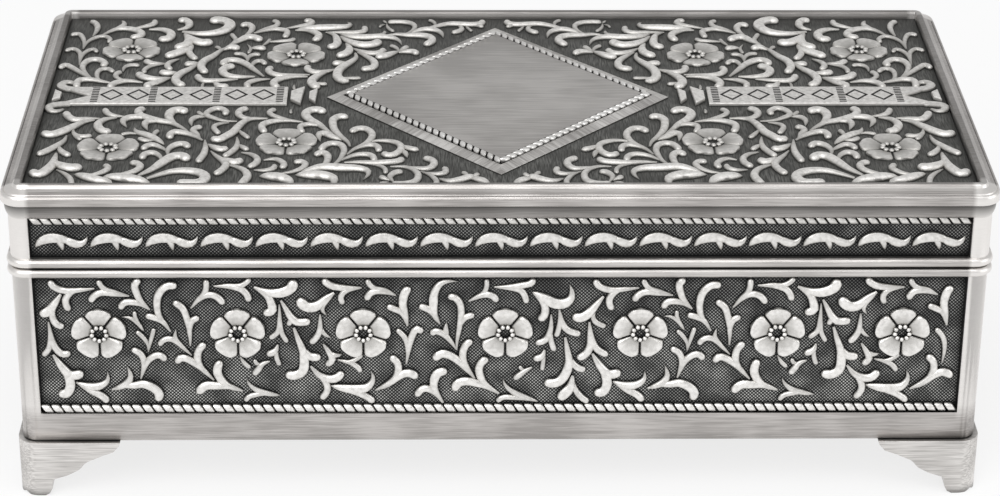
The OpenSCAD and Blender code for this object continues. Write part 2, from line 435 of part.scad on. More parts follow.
// Scrolls on the left half of the lid, from its middle
lid_scrolls = [
    [1.8, [[-89.8, 34.4], [-89.3, 37.2], [-89.3, 39.8], [-90, 42], [-91.2, 43.2]]],
    [1.8, [[-87.3, 9.8], [-90, 13], [-92.4, 16], [-94, 17.4], [-95.1, 15.6]]],
    [2, [[-87.3, 9.8], [-89.4, 13.6], [-90.2, 17], [-89.3, 19.9], [-87.2, 20.5], [-85.5, 18.4],
        [-86, 16.8]]],
    [2, [[-82.7, 7.6], [-85, 8.4], [-88, 9.4], [-90.2, 8.6], [-90.2, 5]]],
    [2, [[-76.3, 8], [-79.6, 8.6], [-82, 7.6], [-83, 5.8], [-83, 4.8]]],
    [2.2, [[-87.7, 35.2], [-86, 37.4], [-84.4, 38.6], [-81.8, 38.4], [-79.4, 36.6], [-79.2, 34.4],
        [-81.4, 33.2]]],
    [1.8, [[-81.4, 39], [-78.6, 40], [-76.8, 41.6], [-76.8, 43.6]]],
    [2.6, [[-77.6, 38.4], [-75, 38.2], [-72.8, 36.4], [-72.4, 34], [-73.4, 32.2], [-75, 32.6]]],
    [2.4, [[-71.3, 38.2], [-69.4, 39.1], [-68.8, 41.3], [-69.8, 43.5], [-71.6, 43.4]]],
    [3.2, [[-70, 37], [-66, 35.5], [-62, 36.2], [-59.8, 39.1], [-60, 41.9], [-62.2, 43.5], [-64.4, 42.9]]],
    [2.8, [[-69.4, 35.7], [-68.3, 32], [-68.6, 29], [-71, 27]]],
    [3, [[-69.4, 35.7], [-67.4, 32], [-65, 30], [-62.8, 30.8]]],
    [2.8, [[-67.2, 29.1], [-67.8, 26.4], [-70, 24.4], [-72.6, 22]]],
    [2, [[-67.2, 29.1], [-67.6, 25], [-66.6, 22], [-65.6, 20.8]]],
    [2.3, [[-59.5, 28], [-60.8, 25.8], [-62.3, 22.4], [-64, 19.6], [-64.4, 16.6], [-63.6, 14],
        [-62.8, 13.2]]],
    [2.4, [[-60.2, 26.4], [-58.6, 27.6], [-56.6, 26.8]]],
    [2.4, [[-59.1, 29.1], [-57.2, 31.4], [-55, 33.6], [-53, 32.8], [-52.4, 31.4]]],
    [2, [[-56.3, 33.8], [-54.8, 37], [-54.6, 39.6], [-55.8, 41.2], [-57.2, 40.2]]],
    [1.8, [[-54.1, 36.3], [-50, 38.4], [-48.1, 38.2], [-46.6, 37], [-47, 33.5]]],
    [2, [[-54.2, 27.4], [-52.6, 27.3], [-50.8, 26.8]]],
    [2.2, [[-50.4, 11.2], [-52.8, 15], [-55, 18.4], [-57.6, 20.2], [-59.4, 19.4], [-59.6, 17.4]]],
    [2.4, [[-52.4, 11.2], [-56, 10.8], [-58.4, 11.6], [-59.6, 14.2], [-58.6, 16.2], [-57, 16.9]]],
    [1.8, [[-49, 9.9], [-52, 9], [-53.8, 7], [-53.4, 4.9]]],
    [2, [[-56, 9.8], [-60, 8.8], [-63, 8.6], [-64.4, 10], [-64.8, 11.8]]],
    [2, [[-61.4, 8.6], [-60.8, 8], [-59.8, 5.8], [-57.6, 5.6]]],
    [2.4, [[-64.8, 19], [-66.6, 15.6], [-68.6, 12.6], [-69.4, 9.4], [-68.4, 6.8], [-67, 6.2]]],
    [2.2, [[-65, 18.8], [-67, 18], [-68.2, 17.8]]],
    [2.4, [[-69, 13.2], [-71.6, 12.8], [-73.2, 13.6]]],
    [1.8, [[-69.6, 21.2], [-71.4, 19], [-71.8, 17], [-70.8, 14.8]]],
    [2, [[-72.4, 18.6], [-75, 18.2], [-77, 20]]],
    [2.4, [[-70.6, 10.6], [-73.6, 9.6], [-76.4, 10.6], [-77.8, 12.8]]],
    [2.2, [[-70.8, 10.2], [-73.4, 7.6], [-75.2, 6], [-74.4, 4.9]]],
    [-2.6, [[-44.5, 38.6], [-40, 38.9], [-36.5, 39.2], [-33.6, 39.8], [-32.6, 41.3], [-33.4, 43.3]]],
    [1.8, [[-47, 39.2], [-44.5, 40], [-42.2, 41], [-41.2, 42.3], [-42, 43.6], [-43, 43]]],
    [2.2, [[-44.8, 38], [-42.8, 38], [-41, 37], [-39.6, 35.2], [-39.6, 33], [-40.6, 31.6]]],
    [2.4, [[-37.5, 36.6], [-36, 35], [-35.4, 32.5], [-35.2, 30], [-36, 28], [-37.4, 28.2]]],
    [1.8, [[-38, 36.8], [-34, 36.5], [-31.5, 36.2], [-29.6, 37], [-29.2, 38.4], [-29.5, 39.8]]],
    [-2.2, [[-34.8, 36], [-32.5, 34], [-29, 33.5], [-25.5, 33.8], [-23, 33.3], [-21.5, 31.8],
        [-20.8, 29.2]]],
    [2.3, [[-24.5, 34.9], [-22, 35.4], [-19.5, 34.8], [-16.5, 34.6], [-14.6, 33.5], [-14.1, 31.5],
        [-15, 29.8], [-15.9, 29]]],
    [-1.9, [[-19, 36.4], [-16.5, 38], [-14.8, 38.3], [-13, 37.5], [-12, 36], [-11.6, 33.6]]],
    [2, [[-17.5, 37.2], [-14.5, 39.3], [-12.5, 40.6], [-10, 41.6], [-7, 41.3], [-4.5, 41.2],
        [-3, 42], [-2.8, 43.5]]],
    [2.8, [[-34.5, 34.2], [-33, 31.5], [-30.8, 29.4], [-28.5, 28.7], [-26.6, 29.8], [-26, 31.4]]],
    [2.6, [[-33.2, 30], [-32.5, 27.6], [-32.6, 25], [-33.8, 23.2], [-35.2, 22.6]]],
    [2, [[-31.8, 27.4], [-30, 25.5], [-28, 24.2], [-26.2, 24.2], [-25, 25.5], [-25.2, 26.6]]],
    [2.2, [[-30.5, 25], [-28.8, 22.8], [-27.2, 20.4], [-26.6, 18], [-27.2, 15.8], [-29.6, 15]]],
    [2.6, [[-31, 24.4], [-30.8, 21.8], [-31.8, 19.4], [-33, 17.4], [-34.2, 15], [-34.6, 12.5],
        [-34.4, 10.4], [-33.2, 8.6], [-32, 9]]],
    [2.2, [[-32.6, 18.9], [-34.5, 18.4], [-36, 18.4]]],
    [2, [[-34.6, 15.4], [-36.2, 14.4], [-38.2, 13.4], [-40, 13.6], [-41.2, 15.2], [-41, 16.9]]],
    [2.6, [[-36.4, 14.4], [-38, 12.6], [-39.5, 10.2], [-40, 8], [-39.4, 6], [-38.4, 4.6]]],
    [2, [[-40.6, 12.3], [-42.5, 12], [-45, 11.6], [-47.5, 11.8], [-49.2, 13.2], [-49.6, 15],
        [-48.8, 16.2]]],
    [2.2, [[-41, 11.2], [-44, 11], [-46.5, 10], [-48, 8.2], [-48, 6.4], [-47, 4.9]]],
    [2.4, [[-21.5, 25.6], [-23, 24], [-24.5, 22.6], [-26.6, 21.8]]],
    [2.1, [[-21.5, 25], [-19.5, 25.3], [-18, 24.9], [-17.4, 23.6]]],
    [2.2, [[-83.6, -11.3], [-86.3, -11.8], [-88.6, -12.3], [-90.2, -10.6], [-91, -8.4]]],
    [2.6, [[-84.6, -12.2], [-86.6, -13.2], [-88.6, -15.8], [-90.6, -18.4], [-92.8, -20], [-94.8, -19]]],
    [2, [[-89.5, -20.2], [-89.8, -23], [-91, -25.6], [-92.6, -28], [-94.4, -30]]],
    [1.9, [[-90.4, -25.4], [-90, -27.4], [-88.8, -29.4], [-87.6, -30.4]]],
    [2.8, [[-90.6, -29.2], [-90.6, -32], [-90.8, -35], [-91.6, -37.6], [-93, -39.6], [-94.6, -38]]],
    [3, [[-90.4, -32.6], [-89.6, -34.6], [-87.8, -36.2], [-86, -36.6], [-84.8, -35.6]]],
    [-2.6, [[-85.8, -39.2], [-83, -41], [-80.5, -42.4], [-78.6, -43], [-77.8, -45.2]]],
    [1.8, [[-84.2, -39.9], [-81.5, -39.4], [-79.9, -38], [-79.3, -36.4], [-80.2, -34.9]]],
    [-3, [[-80, -40.6], [-77, -41], [-74.5, -41.8], [-72.4, -42.4], [-70.8, -43.6], [-70.5, -45.2]]],
    [2, [[-79, -40.4], [-76, -39.4], [-73.8, -38], [-72.9, -36], [-73.6, -34.3], [-75.2, -33.9]]],
    [2.8, [[-73, -40], [-70.4, -37], [-68.6, -33.8], [-66.8, -31.2], [-64.8, -30.8], [-63.6, -32.8]]],
    [1.9, [[-68.8, -33], [-69.4, -30.6], [-71, -29], [-72.6, -29.8], [-72.9, -32]]],
    [2.8, [[-71.2, -41.4], [-69, -39.8], [-66.2, -38.2], [-63.2, -38], [-60.4, -39.2],
        [-59.4, -41.4], [-60.5, -43.7], [-62.6, -44], [-65, -43.6]]],
    [2, [[-67.8, -30], [-68, -27.6], [-67, -25.4], [-65, -24.6], [-63.8, -26.4]]],
    [1.8, [[-68, -28], [-69.4, -26.4], [-71.4, -25], [-72.8, -26], [-73, -27.4]]],
    [-2, [[-69, -24.6], [-71, -22], [-73.4, -19.8], [-75.2, -18.4], [-76, -15.6]]],
    [2.2, [[-64.6, -18], [-66.2, -16], [-68.4, -13.8], [-71, -12.8], [-73.4, -11.4],
        [-75.2, -9.8], [-75.8, -7.6], [-74.6, -6.2]]],
    [-2, [[-73, -11.4], [-75.6, -10.8], [-77.8, -11.4], [-78.6, -13], [-77.4, -16]]],
    [-1.8, [[-70.5, -13], [-73.2, -13], [-73.9, -14.4], [-73, -17.4]]],
    [2.6, [[-66.6, -16], [-68.4, -13], [-69.2, -10.4], [-68.6, -7.8], [-66.6, -7.4], [-66, -8.8]]],
    [1.8, [[-78.4, -10.3], [-80.8, -10], [-82.2, -8.8], [-83, -6.6]]],
    [2.4, [[-80, -10.8], [-82.4, -12], [-83.6, -14.4], [-83, -17], [-81.6, -18.4], [-80.8, -17.6]]],
    [2, [[-61.2, -22.6], [-63, -20.6], [-65.4, -19], [-67.4, -18.6], [-68.2, -20], [-68, -21.8]]],
    [1.8, [[-61.8, -22], [-62.6, -19.6], [-63.6, -17.8], [-62.8, -16.2], [-61.8, -16.5]]],
    [1.9, [[-60.8, -22.4], [-60.6, -24.4], [-60.4, -27], [-60.6, -30], [-61.2, -32.4], [-61.4, -33.6]]],
    [2.2, [[-60, -24.6], [-58.6, -26.4], [-57, -27.4], [-55.8, -26.6]]],
    [2, [[-59.2, -28], [-58, -30.4], [-56.6, -32.6], [-55.7, -35], [-56.4, -37.6], [-57.6, -39.6]]],
    [2.4, [[-56.8, -31.4], [-55.4, -32.8], [-53.8, -33.8], [-52.6, -32.4]]],
    [2.2, [[-55.2, -34.8], [-53, -36.2], [-51.6, -38], [-51, -40.6], [-51.6, -43], [-52.2, -45]]],
    [1.9, [[-52.9, -28.6], [-51, -29.6], [-49.6, -31.6], [-49.6, -34], [-51, -36.2]]],
    [1.8, [[-54.3, -21], [-54, -24], [-54.2, -26.6], [-55.2, -29], [-56.4, -31]]],
    [2.4, [[-48.5, -11.4], [-52, -11.8], [-53.4, -13.4], [-54.4, -16], [-55.2, -18.6],
        [-56.6, -20.8], [-58.2, -22.6], [-59.4, -21.6]]],
    [2, [[-50, -11.4], [-53, -11.4], [-54.6, -9.6], [-54.4, -7.4], [-52.8, -6.2]]],
    [1.8, [[-54.8, -12.8], [-57.6, -12.6], [-59.8, -11.2], [-61.4, -9.6], [-60.8, -7.4],
        [-59, -6.3], [-57.4, -7.8], [-57.6, -9.6]]],
    [2, [[-41, -13.2], [-44, -12.6], [-47, -13], [-49.2, -14.6], [-49.4, -16.6], [-48.6, -18.8]]],
    [2.5, [[-34.6, -19.4], [-36.2, -17], [-37.6, -14.6], [-39.6, -12.2], [-40.6, -9.6],
        [-39.8, -7.6], [-38, -7.2], [-36.6, -8.6]]],
    [2.2, [[-30.8, -25.8], [-31.4, -23.4], [-33, -20.6], [-34.2, -17.6], [-34.7, -14.6],
        [-34.6, -12], [-33.2, -10.6], [-31.6, -11.2]]],
    [-2, [[-32.6, -22.4], [-34.6, -21], [-36.2, -19.4], [-37.4, -19.8], [-37, -23.2]]],
    [2, [[-31.4, -29.8], [-30, -27.2], [-28, -25], [-26.7, -22.4], [-26.4, -19.6], [-27.6, -17.2],
        [-29.4, -16.9], [-30.9, -18.6]]],
    [1.8, [[-30.4, -27.4], [-28, -25.6], [-26, -25.2], [-25, -26.4], [-24.9, -28.4]]],
    [2, [[-27.6, -23.8], [-25.4, -22.9], [-22.8, -23.2], [-20.8, -24.6], [-20.3, -26.8],
        [-21, -29], [-22.6, -30.4], [-24.2, -29.2]]],
    [1.8, [[-20.8, -25], [-19, -26.6], [-17.4, -27.4], [-16.8, -27]]],
    [1.9, [[-34.8, -36], [-33, -33], [-32.2, -30], [-32, -27.4], [-32.8, -25], [-34.6, -24.4],
        [-36, -25.4], [-36.8, -27.8]]],
    [1.8, [[-32.6, -32.6], [-30.4, -30.6], [-28, -29.8], [-26.2, -30.6], [-25.6, -33]]],
    [2, [[-31.8, -33.6], [-29, -33.6], [-26, -34], [-23, -33.8], [-20.8, -33.2], [-19.9, -31.8]]],
    [-2.6, [[-40.6, -38.8], [-38, -37], [-36, -36.2], [-32, -36.6], [-29, -36.8], [-27, -37.8],
        [-26.8, -39.6], [-27.8, -41.8]]],
    [-3, [[-41.4, -39.6], [-38.4, -40], [-35.8, -40.4], [-33.8, -41.6], [-33.6, -43.6], [-34.2, -45.2]]],
    [-3, [[-48.6, -40.2], [-45.8, -40.8], [-43.2, -42], [-42.2, -43.8], [-42.8, -45.2]]],
    [1.8, [[-44.6, -39], [-42, -38.2], [-40.2, -36.6], [-39.6, -34.6], [-40.6, -33.4], [-42, -33.8]]],
    [1.8, [[-48.2, -32.4], [-46.2, -32], [-44.6, -33.2], [-43.9, -35], [-44.4, -36.6]]],
    [2, [[-38.4, -37.6], [-36, -35.4], [-35.2, -32.6], [-35.4, -30], [-36.6, -29], [-37.8, -30.4]]],
    [1.9, [[-22.4, -35.6], [-19.6, -35.8], [-17.5, -37.6], [-16.7, -40.2], [-17.4, -43],
        [-19.6, -44.2], [-22, -44]]],
    [1.8, [[-21.6, -43], [-22.4, -40.8], [-21.4, -38.8], [-19.8, -38.2]]],
    [2, [[-19.6, -35.6], [-17, -36.6], [-14.8, -36.8], [-13.6, -35], [-13.8, -33], [-15.7, -31.5]]],
    [2.2, [[-12.4, -41.6], [-10.4, -42.8], [-8.2, -42.2], [-6.8, -41.2], [-5.4, -40.6]]],
    [-1.9, [[-6.2, -41.2], [-4.4, -42.2], [-3, -43.4], [-2.6, -45.2]]]];

// Half the width of an arm at point i of n
function arm_half(width, i, n) = abs(width) / 2 * (width > 0
    ? root_share + (1 - root_share) * sin(90 * min(1, i / n / 0.7))
    : max(0.15, sin(180 * pow(i / n, 0.85))));

// Unit vector across an arm at point i
function across(points, i) = let (
    last = len(points) - 1,
    along = points[min(last, i + 1)] - points[max(0, i - 1)]
) [-along[1], along[0]] / norm(along);

function arm_outline(width, points) = let (
    last = len(points) - 1,
    tip = across(points, last) * width * blunt_share / 2
) concat(
    [for (i = [0:last - 1]) points[i] + across(points, i) * arm_half(width, i, last)],
    width > 0 ? [points[last] + tip, points[last] - tip] : [points[last]],
    [for (i = [last - 1:-1:0]) points[i] - across(points, i) * arm_half(width, i, last)]);

// Scrolls moved along by shift, those that stay within reach of the middle
module scrolls(arms, shift, reach) {
    for (arm = arms)
        if (max([for (p = arm[1]) abs(p[0] + shift)]) <= reach)
            translate([shift, 0])
                polygon(arm_outline(arm[0], arm[1]));
}

module wall_panel(length, flower_x) {
    color(dark_silver)
        plate(length, band_top + plate_gap, panel_h - 2 * plate_gap, band_top + plate_gap + rope_r);
    color(silver) {
        for (x = flower_x)
            translate([x, 0, wall_flower_z])
                rotate([90, 0, 0])
                    flower(wall_flower_d);
        translate([0, e, 0])
            rotate([90, 0, 0])
                linear_extrude(wall_scroll_h + e) {
                    scrolls(wall_scrolls, 0, length / 2 - 0.3);
                    scrolls(wall_scrolls, scroll_repeat, length / 2 - 0.3);
                    scrolls(single_wall_scrolls, 0, length / 2 - 0.3);
                }
    }
}

// One curling leaf of the frieze, drawn in its own plane
leaf_outline = [[-5.3, -1.3], [-4, 0.4], [-2.7, 1.4], [-1.4, 1.8], [-0.1, 1.6], [1.2, 1], [2.2, 0.3],
    [3.2, 0.3], [4.3, 0.8], [5.3, 1.2], [5.2, 0.3], [4.5, -0.8], [3.5, -1.5], [2.2, -1.2], [0.9, -0.5],
    [0.4, -1.6], [0.2, -2.3], [-0.1, -1.6], [-0.6, -0.8], [-1.7, -0.4], [-3.2, -0.5], [-4.5, -1.1]];

module frieze(length) {
    count = floor(length / leaf_pitch);
    middle = frieze_bottom + plate_gap + (frieze_h - 2 * plate_gap - 2 * rope_r) / 2;
    color(dark_silver)
        plate(length, frieze_bottom + plate_gap, frieze_h - 2 * plate_gap,
            frieze_top - plate_gap - rope_r);
    color(silver)
        for (i = [0:count - 1])
            translate([(i - (count - 1) / 2) * leaf_pitch, e, middle])
                rotate([90, 0, 0])
                    linear_extrude(0.8)
                        polygon(leaf_outline);
}

module on_front() {
    translate([0, field_in - half_d, 0])
        children();
}

module on_back() {
    rotate(180)
        on_front()
            children();
}

module on_left() {
    rotate(-90)
        translate([0, field_in - half_w, 0])
            children();
}

module on_right() {
    rotate(90)
        translate([0, field_in - half_w, 0])
            children();
}

long_plate = box_w - 2 * (post_end + plate_gap);
short_plate = box_d - 2 * (post_end + plate_gap);

module front_panel() {
    on_front()
        wall_panel(long_plate, long_flower_x);
}

module back_panel() {
    on_back()
        wall_panel(long_plate, long_flower_x);
}

module left_panel() {
    on_left()
        wall_panel(short_plate, short_flower_x);
}

module right_panel() {
    on_right()
        wall_panel(short_plate, short_flower_x);
}

module bottom_plate() {
    color(silver)
        difference() {
            inset_block(wall_in + 0.1, foot_h + ledge_t, bottom_t);
            at_screws()
                screw(hole_gap);
        }
}

// Countersunk screw, its head flush with the top of the bottom plate
module screw(gap) {
    translate([0, 0, floor_z - bottom_t])
        cylinder(h = bottom_t, r1 = screw_r + gap, r2 = head_r + gap);
    translate([0, 0, foot_h - tab_t + 0.6])
        cylinder(h = floor_z - bottom_t - foot_h + tab_t - 0.6 + e, r = screw_r + gap);
}

module foot_screws() {
    color(dark_silver)
        at_screws()
            screw(0);
}

// Outline of a foot wing, from the corner outwards and from the floor up
foot_outline = [[0, foot_h], [foot_l, foot_h], [foot_l - 0.3, foot_h - 0.8],
    [19.8, 10.2], [17.6, 9.4], [14.3, 7.9], [13.6, 7.3], [12.9, 6.4], [12.3, 5.9], [10.2, 4.8],
    [7.2, 3.8], [6.9, 3.4], [6.8, 1.6], [6.2, 0.5], [5.3, 0], [2.2, 0], [1, 0.7], [0.3, 2], [0, 3.6]];
foot_in = wall_set - foot_out;
toe_l = 6.9;

// The foot at the corner of low X and low Y
module foot() {
    round_r = wall_in - foot_in;
    color(bright_silver)
        difference() {
            union() {
                intersection() {
                    union() {
                        wing(foot_t);
                        turned_wing(foot_t);
                        intersection() {
                            wing(toe_l);
                            turned_wing(toe_l);
                            translate([-half_w, -half_d, 0])
                                cube([foot_in + toe_l, foot_in + toe_l, foot_h]);
                        }
                    }
                    rounded_corner(round_r);
                }
                foot_tab();
            }
            at_screws()
                translate([0, 0, foot_h - tab_t + 0.5])
                    cylinder(h = tab_t, r = screw_r + hole_gap);
        }
}

module wing(thickness) {
    translate([foot_in - half_w, foot_in - half_d + thickness, 0])
        rotate([90, 0, 0])
            linear_extrude(thickness)
                polygon(foot_outline);
}

// The wing mirrored about the corner's own diagonal
module turned_wing(thickness) {
    translate([foot_in - half_w, foot_in - half_d, 0])
        mirror([1, -1, 0])
            translate([half_w - foot_in, half_d - foot_in, 0])
                wing(thickness);
}

module rounded_corner(radius) {
    translate([foot_in - half_w, foot_in - half_d, -1]) {
        translate([radius, 0, 0])
            cube([foot_l, foot_l, foot_h + 1]);
        translate([0, radius, 0])
            cube([foot_l, foot_l, foot_h + 1]);
        translate([radius, radius, 0])
            cylinder(h = foot_h + 1, r = radius);
    }
}

// Ledge behind the wings that takes the screws
module foot_tab() {
    reach = wall_in + ledge_w;
    tab_l = 17.3;
    start = foot_in + foot_t - e;
    difference() {
        translate([start - half_w, start - half_d, foot_h - tab_t])
            cube([tab_l - foot_t, tab_l - foot_t, tab_t]);
        translate([reach - half_w, reach - half_d, foot_h - tab_t - 1])
            cube([tab_l, tab_l, tab_t + 2]);
    }
}

module foot_front_left() {
    foot();
}

module foot_front_right() {
    mirror([1, 0, 0])
        foot();
}

module foot_back_left() {
    mirror([0, 1, 0])
        foot();
}

module foot_back_right() {
    rotate(180)
        foot();
}

module hinge_body_leaf(side) {
    color(dark_silver)
        difference() {
            translate([side * hinge_x, hinge_y, seam_z])
                difference() {
                    union() {
                        barrel(-hinge_l / 2, body_knuckle_l, barrel_r);
                        barrel(hinge_l / 2 - body_knuckle_l, body_knuckle_l, barrel_r);
                        body_strap(-1);
                        body_strap(1);
                        translate([-hinge_l / 2, -wall_in - leaf_t, -seam_gap / 2 - leaf_h])
                            cube([hinge_l, leaf_t, leaf_h]);
                    }
                    barrel(-hinge_l, 2 * hinge_l, pin_r + 0.01);
                }
            rivet_holes(-rivet_from_edge);
        }
}

module hinge_lid_leaf(side) {
    color(dark_silver)
        difference() {
            translate([side * hinge_x, hinge_y, seam_z])
                difference() {
                    union() {
                        barrel(-lid_knuckle_l / 2, lid_knuckle_l, barrel_r);
                        lid_strap();
                        translate([-hinge_l / 2, -wall_in - leaf_t, seam_gap / 2])
                            cube([hinge_l, leaf_t, leaf_h]);
                    }
                    barrel(-hinge_l, 2 * hinge_l, pin_r + hole_gap);
                }
            rivet_holes(rivet_from_edge);
        }
}

// Pin with a small round head at each end
module hinge_pin(side) {
    head_l = 0.8;
    color(bright_silver)
        translate([side * hinge_x, hinge_y, seam_z]) {
            barrel(-hinge_l / 2 - e, hinge_l + 2 * e, pin_r);
            barrel(-hinge_l / 2 - head_l, head_l, 1.1);
            barrel(hinge_l / 2, head_l, 1.1);
        }
}

module left_hinge_body_leaf() {
    hinge_body_leaf(-1);
}

module right_hinge_body_leaf() {
    hinge_body_leaf(1);
}

module left_hinge_lid_leaf() {
    hinge_lid_leaf(-1);
}

module right_hinge_lid_leaf() {
    hinge_lid_leaf(1);
}

module left_hinge_pin() {
    hinge_pin(-1);
}

module right_hinge_pin() {
    hinge_pin(1);
}

module hinge_body_rivets() {
    rivet_group(-rivet_from_edge);
}

module hinge_lid_rivets() {
    rivet_group(rivet_from_edge);
}

module floor_pad() {
    color(velvet)
        inset_block(wall_in + 0.3, floor_z + 0.05, pad_t);
}

// Velvet boards stand on the floor pad and end just under the seam
module board_x(inset, z, height, back) {
    width = box_w - 2 * lining_in;
    color(velvet)
        translate([-width / 2, back ? half_d - inset - board_t : inset - half_d, z])
            cube([width, board_t, height]);
}

module board_y(z, height, right) {
    depth = box_d - lining_in - back_lining_in - 2 * board_t - 0.2;
    from = right ? half_w - lining_in - board_t : lining_in - half_w;
    color(velvet)
        translate([from, lining_in + board_t + 0.1 - half_d, z])
            cube([board_t, depth, height]);
}

board_z = floor_z + pad_t + 0.1;
board_h = body_top - 0.4 - board_z;
lid_board_z = lid_bottom + 0.4;
lid_board_h = lid_pad_z - 0.1 - lid_board_z;

module body_lining_front() {
    board_x(lining_in, board_z, board_h, false);
}

module body_lining_back() {
    board_x(back_lining_in, board_z, board_h, true);
}

module body_lining_left() {
    board_y(board_z, board_h, false);
}

module body_lining_right() {
    board_y(board_z, board_h, true);
}

module lid_frame() {
    color(silver)
        difference() {
            union() {
                moulding(lid_profile);
                ring(wall_in - e, wall_in + lid_ledge_w, plate_z - lid_ledge_t, lid_ledge_t);
            }
            rebates(frieze_bottom, frieze_h);
            on_x_hinges() {
                hinge_room();
                lid_strap();
            }
            rivet_holes(rivet_from_edge);
        }
}

module lid_front_frieze() {
    on_front()
        frieze(long_plate);
}

module lid_back_frieze() {
    on_back()
        frieze(long_plate);
}

module lid_left_frieze() {
    on_left()
        frieze(short_plate);
}

module lid_right_frieze() {
    on_right()
        frieze(short_plate);
}

// Ribbon with a swallow-tailed outer end, pointing along +X
module ribbon() {
    linear_extrude(ribbon_h)
        polygon([[ribbon_from, -ribbon_y], [ribbon_to, -ribbon_y], [ribbon_to - ribbon_notch, 0],
            [ribbon_to, ribbon_y], [ribbon_from, ribbon_y]]);
}

module lid_top_plate() {
    color(dark_silver)
        inset_block(rim_in + 0.05, plate_z, top_plate_t);
    color(silver)
        for (sx = [0, 1])
            mirror([sx, 0, 0]) {
                translate([0, 0, field_z - e]) {
                    ribbon();
                    linear_extrude(lid_scroll_h + e)
                        scrolls(lid_scrolls, 0, half_w);
                }
                for (sy = [0, 1], place = lid_flower_xy)
                    mirror([0, sy, 0])
                        translate([place[0], place[1], field_z])
                            rotate(180)
                                flower(lid_flower_d);
            }
}

module lozenge(x, y, z, height) {
    translate([0, 0, z])
        linear_extrude(height)
            polygon([[x, 0], [0, y], [-x, 0], [0, -y]]);
}

module engraving_plaque() {
    edge = 3.6;
    color(bright_silver)
        hull() {
            lozenge(plaque_x, plaque_y, field_z, 0.3);
            lozenge(plaque_x - edge, plaque_y - edge * plaque_y / plaque_x, field_z, plaque_h);
        }
}

module lid_lining_pad() {
    color(velvet)
        inset_block(wall_in + 0.1, lid_pad_z, lid_pad_t);
}

module lid_lining_front() {
    board_x(lining_in, lid_board_z, lid_board_h, false);
}

module lid_lining_back() {
    board_x(back_lining_in, lid_board_z, lid_board_h, true);
}

module lid_lining_left() {
    board_y(lid_board_z, lid_board_h, false);
}

module lid_lining_right() {
    board_y(lid_board_z, lid_board_h, true);
}

body_frame();
front_panel();
back_panel();
left_panel();
right_panel();
bottom_plate();
foot_front_left();
foot_front_right();
foot_back_left();
foot_back_right();
foot_screws();
left_hinge_body_leaf();
right_hinge_body_leaf();
left_hinge_pin();
right_hinge_pin();
hinge_body_rivets();
floor_pad();
body_lining_front();
body_lining_back();
body_lining_left();
body_lining_right();
lid_frame();
lid_front_frieze();
lid_back_frieze();
lid_left_frieze();
lid_right_frieze();
lid_top_plate();
engraving_plaque();
left_hinge_lid_leaf();
right_hinge_lid_leaf();
hinge_lid_rivets();
lid_lining_pad();
lid_lining_front();
lid_lining_back();
lid_lining_left();
lid_lining_right();
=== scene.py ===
# Antiqued silver rosary box: cast relief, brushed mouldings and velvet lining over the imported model
from math import atan2, cos, floor, pi, radians, sin, sqrt

import bmesh
import bpy
from mathutils import Euler, Matrix, Vector


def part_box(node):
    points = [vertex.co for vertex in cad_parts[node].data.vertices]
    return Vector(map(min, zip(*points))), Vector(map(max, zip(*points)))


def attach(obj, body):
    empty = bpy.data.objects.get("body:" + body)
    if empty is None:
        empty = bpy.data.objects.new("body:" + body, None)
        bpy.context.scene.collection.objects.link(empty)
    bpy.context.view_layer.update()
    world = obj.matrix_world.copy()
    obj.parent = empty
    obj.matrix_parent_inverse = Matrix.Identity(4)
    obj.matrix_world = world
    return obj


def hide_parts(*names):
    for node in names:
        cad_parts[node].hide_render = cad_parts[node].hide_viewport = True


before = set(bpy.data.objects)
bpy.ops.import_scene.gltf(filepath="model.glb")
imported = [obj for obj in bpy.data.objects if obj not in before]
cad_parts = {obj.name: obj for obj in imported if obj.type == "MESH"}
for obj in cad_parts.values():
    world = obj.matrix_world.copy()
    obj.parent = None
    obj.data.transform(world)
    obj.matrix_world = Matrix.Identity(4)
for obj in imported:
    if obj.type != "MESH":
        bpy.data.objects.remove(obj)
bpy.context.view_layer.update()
scene = bpy.context.scene
mm = 0.001
print("frame loaded:", len(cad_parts), "parts")

# ---- camera, floor and light

# From a little left of the middle and 26 degrees above the table
cameraView = {
    "lens": 107.09, "place": (-0.0118, -0.58388, 0.31926), "tilt": 63.871, "pan": -1.228, "roll": 0.47,
}

softboxes = {
    "keySoftbox": {"place": (-0.45, -0.95, 0.9), "size": 1.2, "watts": 10},
    "topSoftbox": {"place": (0.1, -0.55, 1.3), "size": 0.7, "watts": 2.6},
    "fillSoftbox": {"place": (1.1, -0.5, 0.5), "size": 0.8, "watts": 3},
}


def placeCamera(view):
    lens = bpy.data.cameras.new("photoCamera")
    lens.sensor_width = 36
    lens.lens = view["lens"]
    camera = bpy.data.objects.new("photoCamera", lens)
    turn = Euler((radians(view["tilt"]), 0, radians(view["pan"]))).to_matrix()
    turn = turn @ Matrix.Rotation(radians(view["roll"]), 3, "Z")
    camera.matrix_world = Matrix.LocRotScale(Vector(view["place"]), turn, None)
    scene.collection.objects.link(camera)
    scene.camera = camera


def placeSoftbox(name, box):
    lamp = bpy.data.lights.new(name, "AREA")
    lamp.size = box["size"]
    lamp.energy = box["watts"]
    softbox = bpy.data.objects.new(name, lamp)
    towards = Vector((0, 0, 0.04)) - Vector(box["place"])
    softbox.matrix_world = Matrix.LocRotScale(Vector(box["place"]), towards.to_track_quat("-Z", "Y"), None)
    scene.collection.objects.link(softbox)


placeCamera(cameraView)
for name, box in softboxes.items():
    placeSoftbox(name, box)
print("camera and lights placed")

# ---- materials


def colour(hexText):
    # sRGB hex to the linear values that the shaders take
    parts = [int(hexText[i:i + 2], 16) / 255 for i in (1, 3, 5)]
    return [c / 12.92 if c <= 0.04045 else ((c + 0.055) / 1.055) ** 2.4 for c in parts] + [1]


